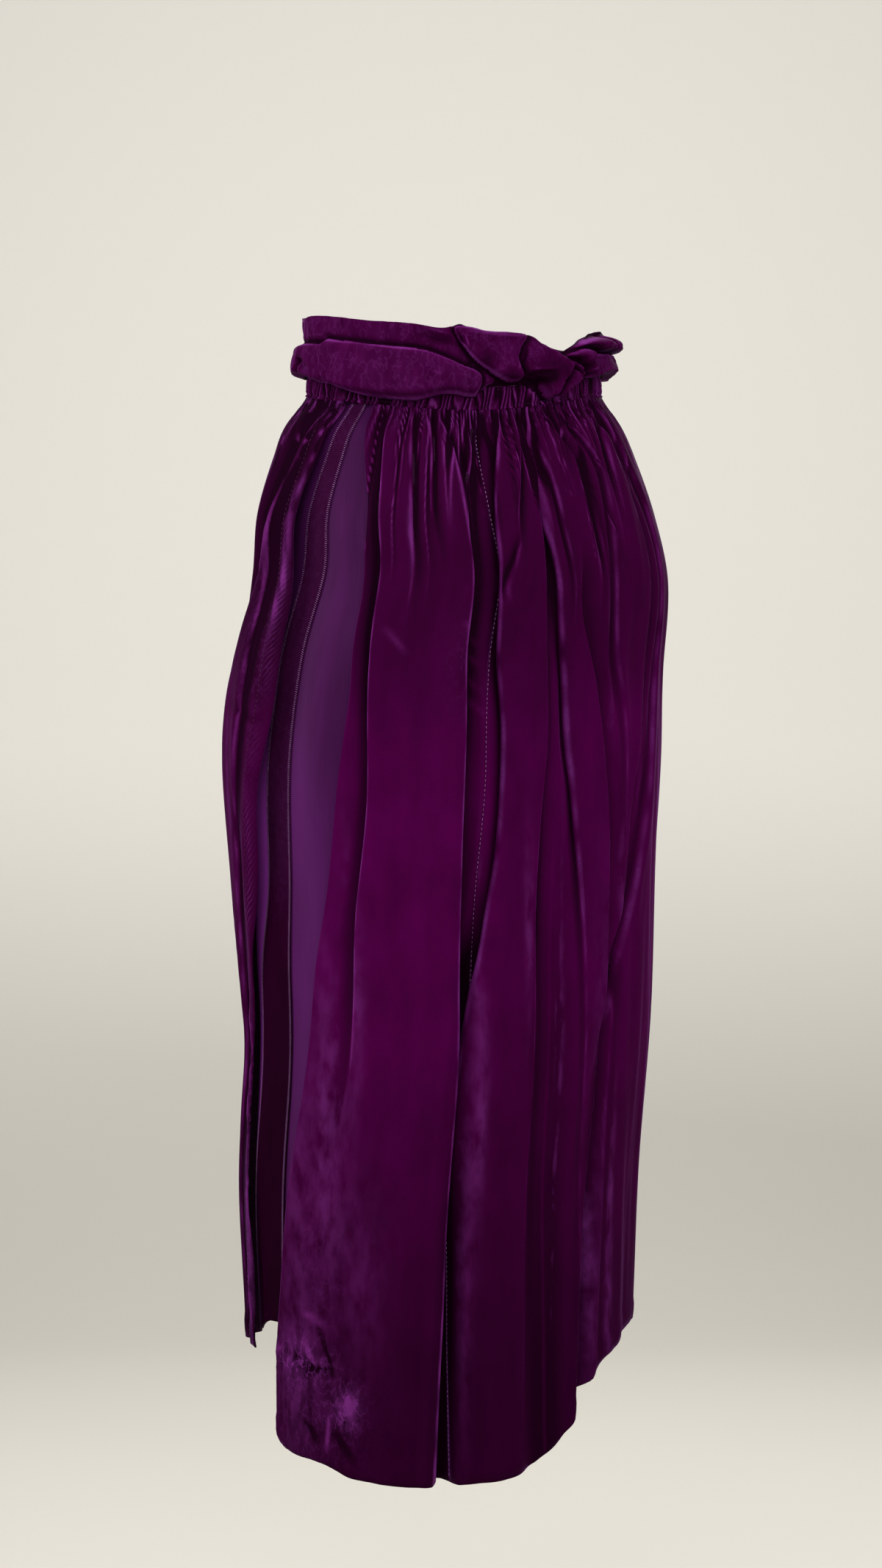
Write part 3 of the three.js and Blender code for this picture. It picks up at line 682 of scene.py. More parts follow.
def silk_velvet(name, deep, mid, nap_and_painted_light, closed, sheen):
    """Silk velvet, woven with a cut pile 1 to 2 mm tall: it drinks light seen straight on and its
    sheen lights every turning edge. Painted highlights make it paler and bluer along the folds,
    gathers, creases and puckers, and painted shade darkens it in valleys, hollows and by place.
    It is paler too in patches where the pile lies over, partly painted highlights, and in fine
    broken lines where it was crushed."""
    material, tree = new_material(name)
    where = add_node(tree, "ShaderNodeUVMap", uv_map="cloth").outputs["UV"]
    rate = 2 * math.pi / PUCKER_SPACING
    across = {0: where, 1: (rate * PUCKER_SLANT, rate, 0)}
    slanted = add_node(tree, "ShaderNodeVectorMath", across, operation="DOT_PRODUCT")
    made = {of: add_node(tree, "ShaderNodeAttribute", attribute_name=of).outputs["Fac"]
            for of in ("nap_and_painted_light", "brushed_and_highlit", "crushed", "shade", "pucker")}
    made.update({
        "cloud": grains(tree, where, 26, 3, (1, 2.2, 1)),
        "grain": grains(tree, where, 1.6, 2, (1, 2.5, 1)),
        "patches": grains(tree, where, 9, 5, (1, 2.6, 1)),
        "broken": grains(tree, where, 8, 3, (1, 1.7, 1)),
        "slanted": slanted.outputs["Value"],
    })
    for result, operation, values, held in PILE_SUMS:
        inputs = {i: made.get(value, value) for i, value in enumerate(values)}
        total = add_node(tree, "ShaderNodeMath", inputs, operation=operation, use_clamp=held)
        made[result] = total.outputs[0]
    body = add_node(tree, "ShaderNodeValToRGB", {
        "Fac": made["cloud"]}, stops=[(0.3, deep), (0.75, mid)])
    # The closed colour is the tone of painted shade and of crushed cloth's hollows, and the pale
    # colour that of painted highlights and of paler pile
    shaded = add_node(tree, "ShaderNodeMix", {
        "Factor": made["dark"], 6: body.outputs["Color"], 7: srgb(closed)}, data_type="RGBA")
    colour = add_node(tree, "ShaderNodeMix", {
        "Factor": made["pale"], 6: shaded.outputs[2], 7: srgb(nap_and_painted_light)}, data_type="RGBA")
    finish_surface(tree, colour.outputs[2], {
        "Roughness": 0.7, "IOR": 1.45, "Specular IOR Level": 0.01, "Diffuse Roughness": 0.6,
        "Sheen Weight": 0.2, "Sheen Roughness": 0.2, "Sheen Tint": srgb(sheen),
    }, relief=(made["height"], 0.3, 0.0006))
    return material


def silk_satin(name, dark, light):
    """Silk-faced satin, woven with long floats: smooth, with a soft gloss drawn out along
    the folds and faint slub lines down the cloth. Painted light makes its colour paler in places."""
    material, tree = new_material(name)
    where = add_node(tree, "ShaderNodeUVMap", uv_map="cloth").outputs["UV"]
    slub = grains(tree, where, 1.1, 2, (1, 40, 1))
    cloud = grains(tree, where, 24, 2, (1, 5, 1))
    weave = add_node(tree, "ShaderNodeMath", {0: slub, 1: 0.35, 2: cloud}, operation="MULTIPLY_ADD")
    painted_satin_light = add_node(tree, "ShaderNodeAttribute", attribute_name="nap_and_painted_light").outputs["Fac"]
    lit = add_node(tree, "ShaderNodeMath", {
        0: weave.outputs[0], 1: 1 / 6, 2: painted_satin_light}, operation="MULTIPLY_ADD").outputs[0]
    colour = add_node(tree, "ShaderNodeValToRGB", {"Fac": lit}, stops=[(0.05, dark), (1, light)])
    finish_surface(tree, colour.outputs["Color"], {
        "Roughness": 0.5, "IOR": 1.5, "Specular IOR Level": 0.03, "Sheen Weight": 0.03,
        "Sheen Roughness": 0.5, "Sheen Tint": srgb("#8a40a0"),
    }, relief=(slub, 0.15, 0.0002))
    return material


def plain_weave(name, dark, light, roughness):
    """The wrong side of velvet or satin, a plain weave: matt, with fine ribs across the cloth."""
    material, tree = new_material(name)
    where = add_node(tree, "ShaderNodeUVMap", uv_map="cloth").outputs["UV"]
    ribs = grains(tree, where, 1.2, 1, (3, 1, 1))
    colour = add_node(tree, "ShaderNodeValToRGB", {"Fac": ribs}, stops=[(0.35, dark), (0.7, light)])
    finish_surface(tree, colour.outputs["Color"], {
        "Roughness": roughness, "IOR": 1.45, "Specular IOR Level": 0.05,
    }, relief=(ribs, 0.3, 0.0003))
    return material


def spun_thread(name, dark, light):
    """Spun polyester sewing thread: a soft gloss, twisted about once a millimetre."""
    material, tree = new_material(name)
    where = add_node(tree, "ShaderNodeTexCoord").outputs["Object"]
    twist = grains(tree, where, 0.0012, 1)
    colour = add_node(tree, "ShaderNodeValToRGB", {
        "Fac": twist}, stops=[(0.35, dark), (0.65, light)])
    finish_surface(tree, colour.outputs["Color"], {
        "Roughness": 0.6, "IOR": 1.5, "Specular IOR Level": 0.1})
    return material


velvet = silk_velvet("purple_silk_velvet", "#3a0031", "#47003d", "#5e2062", "#150010", "#a04cb4")
# The band's velvet is a copy of the velvet darkened all over in painted shade
band_velvet = silk_velvet(
    "shaded_silk_velvet", "#1c0016", "#26001e", "#4a1e4e", "#100009", "#6a3072")
# The velvet's wrong side is much darker than its face, partly its own colour and partly painted
# shade inside the skirt
velvet_back = plain_weave("velvet_woven_ground", "#1a0418", "#260a24", 0.85)
satin = silk_satin("lavender_satin", "#260426", "#812f8e")
satin_back = plain_weave("satin_wrong_side", "#3c2150", "#55356a", 0.7)
thread = spun_thread("purple_sewing_thread", "#260622", "#3c1238")
pale_thread = spun_thread("lavender_overlock_thread", "#5a345c", "#865c8c")


# Each piece of cloth by the node that it stands for: its slot, the flat size in metres of what
# shows, how it is held and what by
CLOTHS = {
    "left_back_panel": ("velvet", (0.15, 0.8), "gathered", "waist_casing"),
    "right_back_panel": ("velvet", (0.4, 0.8), "gathered", "waist_casing"),
    "front_panel": ("velvet", (0.52, 0.72), "gathered", "waist_casing"),
    "waist_casing": ("velvet", (1.15, 0.02), "gathered", "waist_frill"),
    "waist_frill": ("velvet", (0.85, 0.055), "gathered", "waist_casing"),
    "underlap_panel": ("satin", (0.11, 0.69), "hung", "waist_casing"),
    "underlap_band": ("dark_velvet", (0.03, 0.68), "hung", "underlap_panel"),
}

# The face, the wrong side and the thickness of the cloth in each slot
FINISHES = {
    "velvet": (velvet, velvet_back, VELVET_THICK),
    "dark_velvet": (band_velvet, velvet_back, VELVET_THICK),
    "satin": (satin, satin_back, SATIN_THICK),
}


def cloth_piece(node, points, uv, pile, thick=None):
    """A thin cloth shell over a grid of points, its face outward and its wall inside. A grid
    whose UV has one more column closes into a ring. The pile holds the values that its
    material reads, by name, painted highlights and shade among them."""
    slot, flat, held, rests_on = CLOTHS[node]
    face, back, usual_thick = FINISHES[slot]
    rows, columns = points.shape[:2]
    index = np.arange(rows * columns).reshape(rows, columns)
    if uv.shape[1] > columns:
        index = np.hstack([index, index[:, :1]])
    faces, uv_corners = (
        np.stack([grid[:-1, :-1], grid[1:, :-1], grid[1:, 1:], grid[:-1, 1:]], axis=2)
        for grid in (index, uv))
    name = node + "_cloth"
    mesh = bpy.data.meshes.new(name)
    mesh.from_pydata((points.reshape(-1, 3) * MM).tolist(), [], faces.reshape(-1, 4).tolist())
    mesh.uv_layers.new(name="cloth").data.foreach_set("uv", uv_corners.reshape(-1))
    for of, values in pile.items():
        values = np.broadcast_to(values, points.shape[:2])
        mesh.attributes.new(of, "FLOAT", "POINT").data.foreach_set("value", values.reshape(-1))
    mesh.polygons.foreach_set("use_smooth", [True] * len(mesh.polygons))
    mesh.materials.append(face)
    mesh.materials.append(back)
    piece = place(name, mesh)
    wall = piece.modifiers.new("cloth wall", "SOLIDIFY")
    wall.thickness = (thick or usual_thick) * MM
    wall.offset = -1
    wall.material_offset = 1
    wall.material_offset_rim = 0
    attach(piece, "root")
    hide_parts(node)


# Places where the pile lies over and looks paler, partly painted highlights along soft ridges and
# fold edges: middle, reach and strength
BRUSHED_AND_HIGHLIT = table("azimuth z around tall strength", [
    (117.5, -736, 2.6, 11, 1),
    (103, -590, 5, 130, 0.33),
    (111, -500, 3, 90, 0.35),
    (119, -430, 2.4, 80, 0.5),
    (100, -715, 8, 45, 0.25),
    (130, -121, 0.7, 22, 0.8),
    (152, -600, 2.5, 130, 0.35),
    (155, -420, 1.5, 90, 0.4),
    (204, -560, 4, 160, 0.35),
    (208, -300, 1.6, 60, 0.5),
    (213, -620, 2, 100, 0.6),
    (198, -122, 1.6, 22, 0.6),
    (172, -400, 1.5, 60, 0.5),
    (186, -480, 1.2, 120, 0.5),
    (183.3, -490, 0.8, 60, 0.5),
    (185.3, -620, 0.8, 70, 0.55),
    (204.5, -610, 1.2, 90, 0.5),
    (156, -545, 2, 60, 0.45),
    (215, -380, 1.2, 60, 0.5),
    (113, -570, 5, 80, 0.3),
    (122, -640, 6, 60, 0.22),
    (458, -88, 0.6, 12, 0.8),
    (455.5, -140, 1, 45, 0.8),
    (447, -100, 0.8, 30, 0.5),
    (438, -300, 1.2, 60, 0.4),
    (440, -620, 4, 60, 0.4),
])

# Painted shade: none over the left of the back, more towards the hem, the sides, the front and
# under the waist; the closed share is the painted shade of the sides
PAINTED_SHADE_PLACES = {
    "from": 148, "to": 172, "closed": 0.22, "top": 0.52, "hem": 0.8, "hem_from": -330,
    "hem_side": 0.52, "front": 0.3, "front_from": 400, "front_to": 430, "top_from": 150,
    "top_to": 300}


def shade_of(azimuth, z):
    """Painted shade, apart from the folds: darker towards the hem, the sides, the front and under
    the waist.
    """
    size = PAINTED_SHADE_PLACES
    side = smooth(azimuth, size["from"], size["to"])
    below = top_of_panel(azimuth) - z
    waist = size["top"] * (1 - smooth(below, size["top_from"], size["top_to"]))
    hem = mix(size["hem"], size["hem_side"], side) * smooth(-z, -size["hem_from"], 790)
    front = size["front"] * smooth(azimuth, size["front_from"], size["front_to"])
    return np.maximum(size["closed"] * side, waist) + hem + front


def painted_light_of(azimuth, z):
    """Painted highlights and shade along the folds, gathers and creases."""
    below = top_of_panel(azimuth) - z
    painted_light_sum = fold_painted_light(azimuth, z) * smooth(below, 0, 12)
    painted_light_sum += gather_form(azimuth, below)[1] + crease_form(azimuth, z)[1]
    return np.clip(painted_light_sum, -1, 1)


# Where each panel starts and ends, by height, and how many columns and rows its grid has
PANELS = {
    "left_back_panel": (edge["slit_back"], edge["back_seam"], 170, 240),
    "right_back_panel": (edge["back_seam"], lambda z: RIGHT_SEAM, 250, 180),
    "front_panel": (lambda z: RIGHT_SEAM, lambda z: edge["slit_front"](z) + 360, 290, 150),
}
PUCKER_REACH = 3.2


def panel(node, start, end, columns, rows):
    azimuth, z = panel_grid(start, end, columns, rows)
    uv = np.stack([azimuth * MM_PER_DEGREE, z], axis=-1)
    from_edge = np.abs(azimuth - 360 - edge["slit_front"](z)) * MM_PER_DEGREE
    strength = 0.45 + 0.35 * np.sin(z * 0.03) + 0.2 * np.sin(z * 0.11)
    # The cloth carries its painted light as attributes: painted highlights and shade along the
    # folds, gathers and creases, painted shade by place, and pale patches that are partly painted
    # highlights
    cloth_piece(node, velvet_points(azimuth, z), uv, {
        "nap_and_painted_light": painted_light_of(azimuth, z),
        "brushed_and_highlit": np.clip(spots(BRUSHED_AND_HIGHLIT, azimuth, z), 0, 1),
        "crushed": crushed_at(azimuth, z),
        "shade": shade_of(azimuth, z),
        "pucker": bell(from_edge - 0.6 * SLIT_HEM_WIDTH, PUCKER_REACH) * strength,
    })


for panel_name, panel_size in PANELS.items():
    panel(panel_name, *panel_size)


def casing_points(azimuth, level):
    """The casing: two shirred rows pinch it, so it swells between them and at every gather.
    Gives its points, and painted highlights on the gathers' crests with painted shade between them."""
    phase = azimuth / 360 * CASING_GATHERS + 0.35 * np.sin(np.radians(azimuth * 23))
    phase = phase + 0.5 * level + 0.4 * np.sin(azimuth * 0.7 + level * 3)
    index = np.floor(phase) % CASING_GATHERS
    ridge = np.abs(np.cos(np.pi * phase)) * (0.45 + 0.75 * vary(index, 6))
    rows_pinch = sum(bell(level - row, ROW_PINCH_WIDTH) for row in SHIRRED_ROWS)
    swell = np.sin(np.pi * np.clip(level, 0, 1)) ** 0.6
    out = CASING_PUFF * (ridge * (0.45 + 0.55 * swell) - 0.45 * rows_pinch)
    z = casing_line(azimuth) + CASING_HEIGHT * (0.5 - level)
    crest = bell(phase - np.floor(phase) - 0.86, 0.1) * (0.3 + 0.9 * vary(index, 7))
    return on_ring(azimuth, z, out), crest - 1.1 * (1 - ridge) ** 2


CASING_THICK = 3
CASING_MM_PER_DEGREE = 3.2


def casing():
    across = np.linspace(0, 360, CASING_GATHERS * 10, endpoint=False)
    down = np.linspace(0, 1, 19)
    points, nap_and_painted_light = casing_points(*np.meshgrid(across, down))
    around = np.append(across, 360) * CASING_MM_PER_DEGREE
    uv = np.stack(np.meshgrid(around, -down * CASING_HEIGHT), axis=-1)
    pile = {"nap_and_painted_light": np.clip(nap_and_painted_light, -1, 1), "shade": 0.3, "crushed": 0.35}
    cloth_piece("waist_casing", points, uv, pile, thick=CASING_THICK)


FRILL_MM_PER_DEGREE = 2.05
FRILL_FIRST = 96

# Top edge of the frill above the casing, and the lowest line that its lobes droop to
FRILL_EDGES = table("azimuth top low", [
    (96, 44, -5), (112, 43, -11), (128, 43, -12), (133, 42, -10), (138, 41, -7), (143, 42.5, -6),
    (146, 44.5, -6.5), (149, 43.5, -7.5), (153, 42, -7), (158.5, 40, 1), (165, 39, 2.5),
    (172, 37.5, 1.5), (177.5, 35.5, 0), (181, 34.5, -3), (186, 27, -11), (190, 23, -14),
    (197, 17, -12), (202, 20.5, -9), (210, 26, -3), (219, 30, -2), (226, 31, 0), (233, 32, 2),
    (241, 30, 2), (250, 27, 1), (262, 25, -3), (274, 23, 2), (286, 27, -5), (298, 33, 1),
    (310, 39, -3), (324, 34, 2), (338, 41, -7), (352, 37, 1), (366, 42, -5), (380, 36, 2),
    (394, 41, -8), (408, 38, 1), (422, 42, -4), (436, 39, 1), (446, 43, -3), (456, 44, -5),
])

# Lobes where the frill flops over, from the back one to the front one: how far each stands out,
# how much it leans, how round its rim is, and its outline by azimuth and height above the casing
LOBES = {
    "far lobe": (17.5, 0.03, 7, [
        (219, 21), (226, 28), (236, 29.5), (246, 28), (253, 24), (257, 16), (254, 7), (246, 2),
        (236, 1), (228, 7), (221, 13)]),
    "large right lobe": (19, 0.05, 5, [
        (201, 17), (207, 24), (216, 28), (225, 28), (232, 22), (234, 14), (230, 8), (224, 4),
        (217, 5), (208, 12)]),
    "near right lobe": (19, 0, 4.5, [
        (200, 15), (205, 19.5), (211, 20.5), (217, 18), (220.5, 12), (220, 5), (215, 0),
        (209, -1.5), (204, 3)]),
    "small right lobe": (14, 0, 3, [
        (196, 13), (202, 13.5), (207, 9.5), (210, 4), (209, -1), (205, -3), (203, 3), (199, 8)]),
    "middle right lobe": (14, 0, 3, [
        (197, 10), (203, 7.5), (207, 2), (205.5, -4), (200, -9), (193, -13), (190, -12),
        (194, -2)]),
    "drooping flap": (16, -0.12, 4, [
        (176, 37), (186, 28), (197, 17.5), (202, 12), (200, 5), (195, -4), (189.5, -13), (185, -6),
        (182.5, 1), (178, 4), (174, 9), (173, 20)]),
    "pillow neck": (8, 0, 4, [(151, 16), (158, 13), (162, 5), (160, 1), (155, -3), (152, 2)]),
    "pillow": (16, -0.1, 5, [
        (92, 24), (104, 27), (118, 26), (132, 25), (140, 21), (148, 15), (154.5, 10), (155.5, 2),
        (153, -6.5), (149, -7), (144, -5.5), (138, -6.5), (128, -11.5), (112, -11), (98, -6)]),
    "leaf": (17, -0.22, 3.5, [
        (144, 40), (149, 43.5), (158, 40.5), (169, 39), (177.5, 36), (174, 27), (172.5, 17),
        (174.5, 7), (172.5, 2.5), (165.5, 4), (158, 12), (151.5, 21)]),
}
HIDDEN_LOBES = {"first": 256, "last": 440, "count": 12}

# Fold lines on the lobes: from one end to the other, height (ridges above zero) and width
FRILL_CREASES = table("azimuth_a up_a azimuth_b up_b height width", [
    (177, 34, 173, 23, 2, 1.6), (173, 23, 170.5, 9, 1.6, 1.6), (176, 27, 174, 14, -2, 1.6),
    (150, 39, 176, 34, 1.3, 1.4), (151, 34, 160, 20, -0.8, 3), (161, 24, 168, 13, 0.8, 3),
    (175.5, 10, 190, 9, 1.4, 1.5), (176, 6.5, 185, 6.5, -2.4, 1.6), (177, 4, 184, 3, 1.8, 1.5),
    (190, 22, 196, 6, 0.9, 3), (184, 26, 187, 12, -0.8, 3), (136, 9, 140, 7, 1.3, 2.5),
    (118, 14, 130, 12, -0.8, 4), (146, 8, 151, 4, 0.8, 2.5), (108, 16, 116, 4, 0.9, 4),
    (142.5, 41.5, 147, 43.5, 2.6, 1.8), (143, 37, 145, 31, 2.2, 1.8), (146, 38, 148, 31, -2.4, 1.8),
    (148.5, 36, 150, 28, 1.8, 1.6), (133, 35, 141, 31, -2.5, 3), (134, 40, 142, 37, 1.5, 2),
    (207, 1, 208, 15, 1.2, 1.3), (208, 1, 212, 15, -1.2, 1.3), (209, 1, 216, 12, 1.3, 1.3),
    (210, 1, 218, 6, -1.2, 1.3), (196, 6, 200, -2, 0.9, 1.4), (226, 24, 229, 12, 1, 1.4),
    (236, 24, 240, 10, -1.2, 2),
])


def smooth_outline(points, steps=6):
    """A closed outline rounded through its corner points."""
    corners = np.array(points, dtype=float)
    before, after, far = np.roll(corners, 1, 0), np.roll(corners, -1, 0), np.roll(corners, -2, 0)
    made = []
    for i in range(steps):
        t = i / steps
        made.append(0.5 * (2 * corners + (after - before) * t
                           + (2 * before - 5 * corners + 4 * after - far) * t ** 2
                           + (3 * corners - before - 3 * after + far) * t ** 3))
    return np.stack(made, axis=1).reshape(-1, 2)


def depth_inside(azimuth, up, outline):
    """Distance to an outline in millimetres, above zero inside it."""
    x, y = azimuth * FRILL_MM_PER_DEGREE, up
    corners = outline * (FRILL_MM_PER_DEGREE, 1)
    nearest = np.full_like(x, 1e9)
    inside = np.zeros(x.shape, dtype=bool)
    for (ax, ay), (bx, by) in zip(corners, np.roll(corners, -1, 0)):
        nearest = np.minimum(nearest, gap_to_line(x, y, (ax, ay), (bx, by))[0])
        if ay != by:
            inside ^= ((ay > y) != (by > y)) & (x < ax + (y - ay) * (bx - ax) / (by - ay))
    return np.where(inside, nearest, -nearest)


def all_lobes():
    """The lobes in sight, and like ones round the front and the right side."""
    seen = list(LOBES.values())
    size = HIDDEN_LOBES
    hidden = []
    for i, middle in enumerate(np.linspace(size["first"], size["last"], size["count"])):
        pattern = seen[(i * 3 + 1) % 5] if i % 2 else LOBES["pillow"]
        shape = np.array(pattern[3], dtype=float)
        wide = (-1 if i % 3 == 1 else 1) * (0.7 + 0.5 * vary(i, 11))
        shape[:, 0] = middle + wide * (shape[:, 0] - shape[:, 0].mean())
        shape[:, 1] = np.minimum(shape[:, 1] * (0.85 + 0.2 * vary(i, 12)), 36)
        shape[:, 1] *= mix(0.62, 1, smooth(middle, 275, 310))
        hidden.append((12 + 6 * vary(i, 13), -0.1, 4, shape))
    return seen + hidden


# Painted shade in the frill's hollows: middle, reach and strength
FRILL_HOLLOW_SHADE = table("azimuth up around tall strength", [
    (182, 3, 6, 4, 1),
    (188, 8, 9, 9, 0.4),
    (168, 6, 3, 5, 0.4),
    (158, 18, 3, 6, 0.4),
    (140, 33, 8, 4, 0.3),
])

# The standing frill behind the lobes: how far it stands out, its waves and its flare
FRILL_STAND = 4
FRILL_WAVE = 1.5
FRILL_WAVES_ROUND = 9
FRILL_FLARE = 0.06

# The crevice round a lobe, the painted highlight on its rim, and half the width of a crease's
# painted highlight
CREVICE_WIDTH = 2.6
CREVICE_STAND = 3
LOBE_RIM_SHINE = 1.25
CREASE_SHINE_WIDTH = 0.7


def frill_out(azimuth, up):
    """How far the frill stands out from the casing's face at a height above its top, and its
    painted light: painted highlights on the lobes' rims and creases, painted shade in the crevices
    under them."""
    pile = np.zeros_like(azimuth)
    waves = FRILL_WAVE * np.sin(np.radians(azimuth * FRILL_WAVES_ROUND))
    out = FRILL_STAND + waves + FRILL_FLARE * np.maximum(up, 0)
    for stand, lean, rim, outline in all_lobes():
        depth = depth_inside(azimuth, up, smooth_outline(outline))
        crevice = bell(np.minimum(depth, 0), CREVICE_WIDTH) * (depth < 0)
        out = mix(out, np.minimum(out, CREVICE_STAND), 0.75 * crevice)
        round_rim = np.sqrt(1 - (1 - np.clip(depth / rim, 0, 1)) ** 2)
        body = stand + lean * up + 1.5 * (1 - np.exp(-np.maximum(depth, 0) / 9))
        out = np.where(depth > 0, np.maximum(out * 0.6, mix(2.6, body, round_rim)), out)
        broken = 0.6 + 0.4 * np.sin(azimuth * 0.25 + up * 0.2 + stand)
        painted_rim_highlight = LOBE_RIM_SHINE * bell(depth - 0.7, 0.8) * broken
        pile = np.where(depth > 0, painted_rim_highlight, mix(pile, -1.0, crevice))
    pile = pile - spots(FRILL_HOLLOW_SHADE, azimuth, up)
    # Creases raise or sink the cloth, with painted highlights on the raised ones and painted shade
    # on the sunk ones
    for a, up_a, b, up_b, height, width in zip(*FRILL_CREASES.values()):
        start, end = (a * FRILL_MM_PER_DEGREE, up_a), (b * FRILL_MM_PER_DEGREE, up_b)
        gap, along = gap_to_line(azimuth * FRILL_MM_PER_DEGREE, up, start, end)
        out = out + height * bell(gap, width)
        faded = np.sin(np.pi * np.clip(0.06 + 0.88 * along, 0, 1)) * min(1, 1.6 / width) ** 2
        pile = pile + 0.3 * height * faded * bell(gap, CREASE_SHINE_WIDTH)
    out += 0.5 * np.sin(azimuth * 0.41 + up * 0.2) + 0.35 * np.sin(azimuth * 0.83 - up * 0.3)
    return out, pile


# The frill's grid, with columns crowded where it is seen from behind, its gathers, how its
# foot tucks under, painted shade on that foot and over the whole frill, and its crushed pile
FRILL_COLUMNS = 700
FRILL_ROWS = 54
FRILL_TUCK_ROWS = 7
FRILL_TUCK_SHADE = -0.6
FRILL_GATHER = 1.2
FRILL_SEEN = (100, 246)
FRILL_SEEN_FADE = 15
FRILL_SEEN_CROWD = 2.2
FRILL_SMOOTHING = 2
FRILL_ROW_MM = 0.9
FRILL_SHADE = 0.38
FRILL_CRUSHED = 0.28


def frill():
    samples = np.linspace(FRILL_FIRST, FRILL_FIRST + 360, 2000)
    first, last = FRILL_SEEN
    seen = smooth(samples, first - FRILL_SEEN_FADE, first)
    seen *= 1 - smooth(samples, last, last + FRILL_SEEN_FADE)
    across = crowded(samples, 1 + (FRILL_SEEN_CROWD - 1) * seen, FRILL_COLUMNS, endpoint=False)
    top = curve_of(FRILL_EDGES["azimuth"], FRILL_EDGES["top"])(across)
    low = curve_of(FRILL_EDGES["azimuth"], FRILL_EDGES["low"])(across)
    share = np.linspace(1, 0, FRILL_ROWS)[:, None]
    azimuth = np.tile(across, (FRILL_ROWS, 1))
    up = mix(low, top, share)
    out, nap_and_painted_light = frill_out(azimuth, up)
    out *= 0.25 + 0.75 * smooth(share, 0, 0.06)
    tuck = np.linspace(0, 1, FRILL_TUCK_ROWS + 1)[1:, None]
    azimuth = np.vstack([azimuth, np.tile(across, (FRILL_TUCK_ROWS, 1))])
    up = np.vstack([up, mix(low, SEAM_GAP, smooth(tuck, 0, 1))])
    out = np.vstack([out, mix(out[-1:, :], 0, tuck)])
    nap_and_painted_light = np.vstack([nap_and_painted_light, np.full((FRILL_TUCK_ROWS, FRILL_COLUMNS), FRILL_TUCK_SHADE)])
    gather = np.abs(np.cos(np.pi * azimuth / 360 * CASING_GATHERS)) - 0.5
    out += FRILL_GATHER * gather * (1 - smooth(up, 2, 14))
    for _ in range(FRILL_SMOOTHING):
        around = (np.roll(out, 1, 1) + np.roll(out, -1, 1) + 2 * out) / 4
        inner = (around[:-2] + around[2:] + 2 * around[1:-1]) / 4
        out = np.vstack([around[:1], inner, around[-1:]])
    points = on_ring(azimuth, casing_line(azimuth), out)
    points[..., 2] = casing_line(azimuth) + CASING_HEIGHT / 2 + up
    around = np.append(across, FRILL_FIRST + 360) * FRILL_MM_PER_DEGREE
    down = np.arange(len(up)) * FRILL_ROW_MM
    uv = np.stack(np.meshgrid(around, -down), axis=-1)
    cloth_piece("waist_frill", points, uv, {
        "nap_and_painted_light": np.clip(nap_and_painted_light, -1, 1), "shade": FRILL_SHADE, "crushed": FRILL_CRUSHED})


casing()
frill()


def underlap_points(across, down, out):
    """Points of the underlap by shares across and down it, with their azimuths and heights."""
    low, high = BAND_SHARES
    z = mix(0.0, UNDERLAP_HEM, down)
    for _ in range(4):
        front, back = edge["band_front"](z), edge["band_back"](z)
        azimuth = np.where(
            across < low, mix(edge["under_front"](z), front, across / low),
            np.where(across < high, mix(front, back, (across - low) / (high - low)),
                     mix(back, edge["under_back"](z), (across - high) / (1 - high))))
        top = top_of_panel(azimuth)
        bottom = UNDERLAP_HEM - UNDERLAP_HEM_FALL * (1 - smooth(azimuth, 72, 88))
        z = mix(top, bottom, down)
    wave = UNDERLAP_WAVE * np.sin(np.radians(azimuth * 14)) * smooth(top - z, 20, 300)
    return on_ring(azimuth, z, out - edge["inset"](z) + wave), azimuth, z


def underlap():
    low, high = BAND_SHARES
    across, down = np.meshgrid(np.linspace(0, 1, 80), np.linspace(0, 1, 200))
    points, azimuth, z = underlap_points(across, down, 0)
    uv = np.stack([azimuth * MM_PER_DEGREE, z], axis=-1)
    # Painted light on the satin: faint down its middle and stronger on the front strip, both fading
    # out towards the waist, which is left in painted shade
    painted_satin_light = 0.08 * smooth(-z, 220, 330) * (1 - 0.8 * smooth(-z, 440, 640))
    painted_satin_light += FRONT_STRIP_PAINTED_LIGHT * (across < low) * smooth(-z, 200, 340)
    cloth_piece("underlap_panel", points, uv, {"nap_and_painted_light": painted_satin_light})
    across, down = np.meshgrid(np.linspace(low, high, 36), np.linspace(0, 1, 240))
    points, azimuth, z = underlap_points(across, down, SEAM_GAP + VELVET_THICK)
    uv = np.stack([azimuth * MM_PER_DEGREE, z], axis=-1)
    # The band is painted darker towards the hem, as painted shade
    closed = 0.75 * smooth(-z, 330, 560)
    cloth_piece("underlap_band", points, uv, {"nap_and_painted_light": 0.1 - closed, "crushed": 0.12})


underlap()


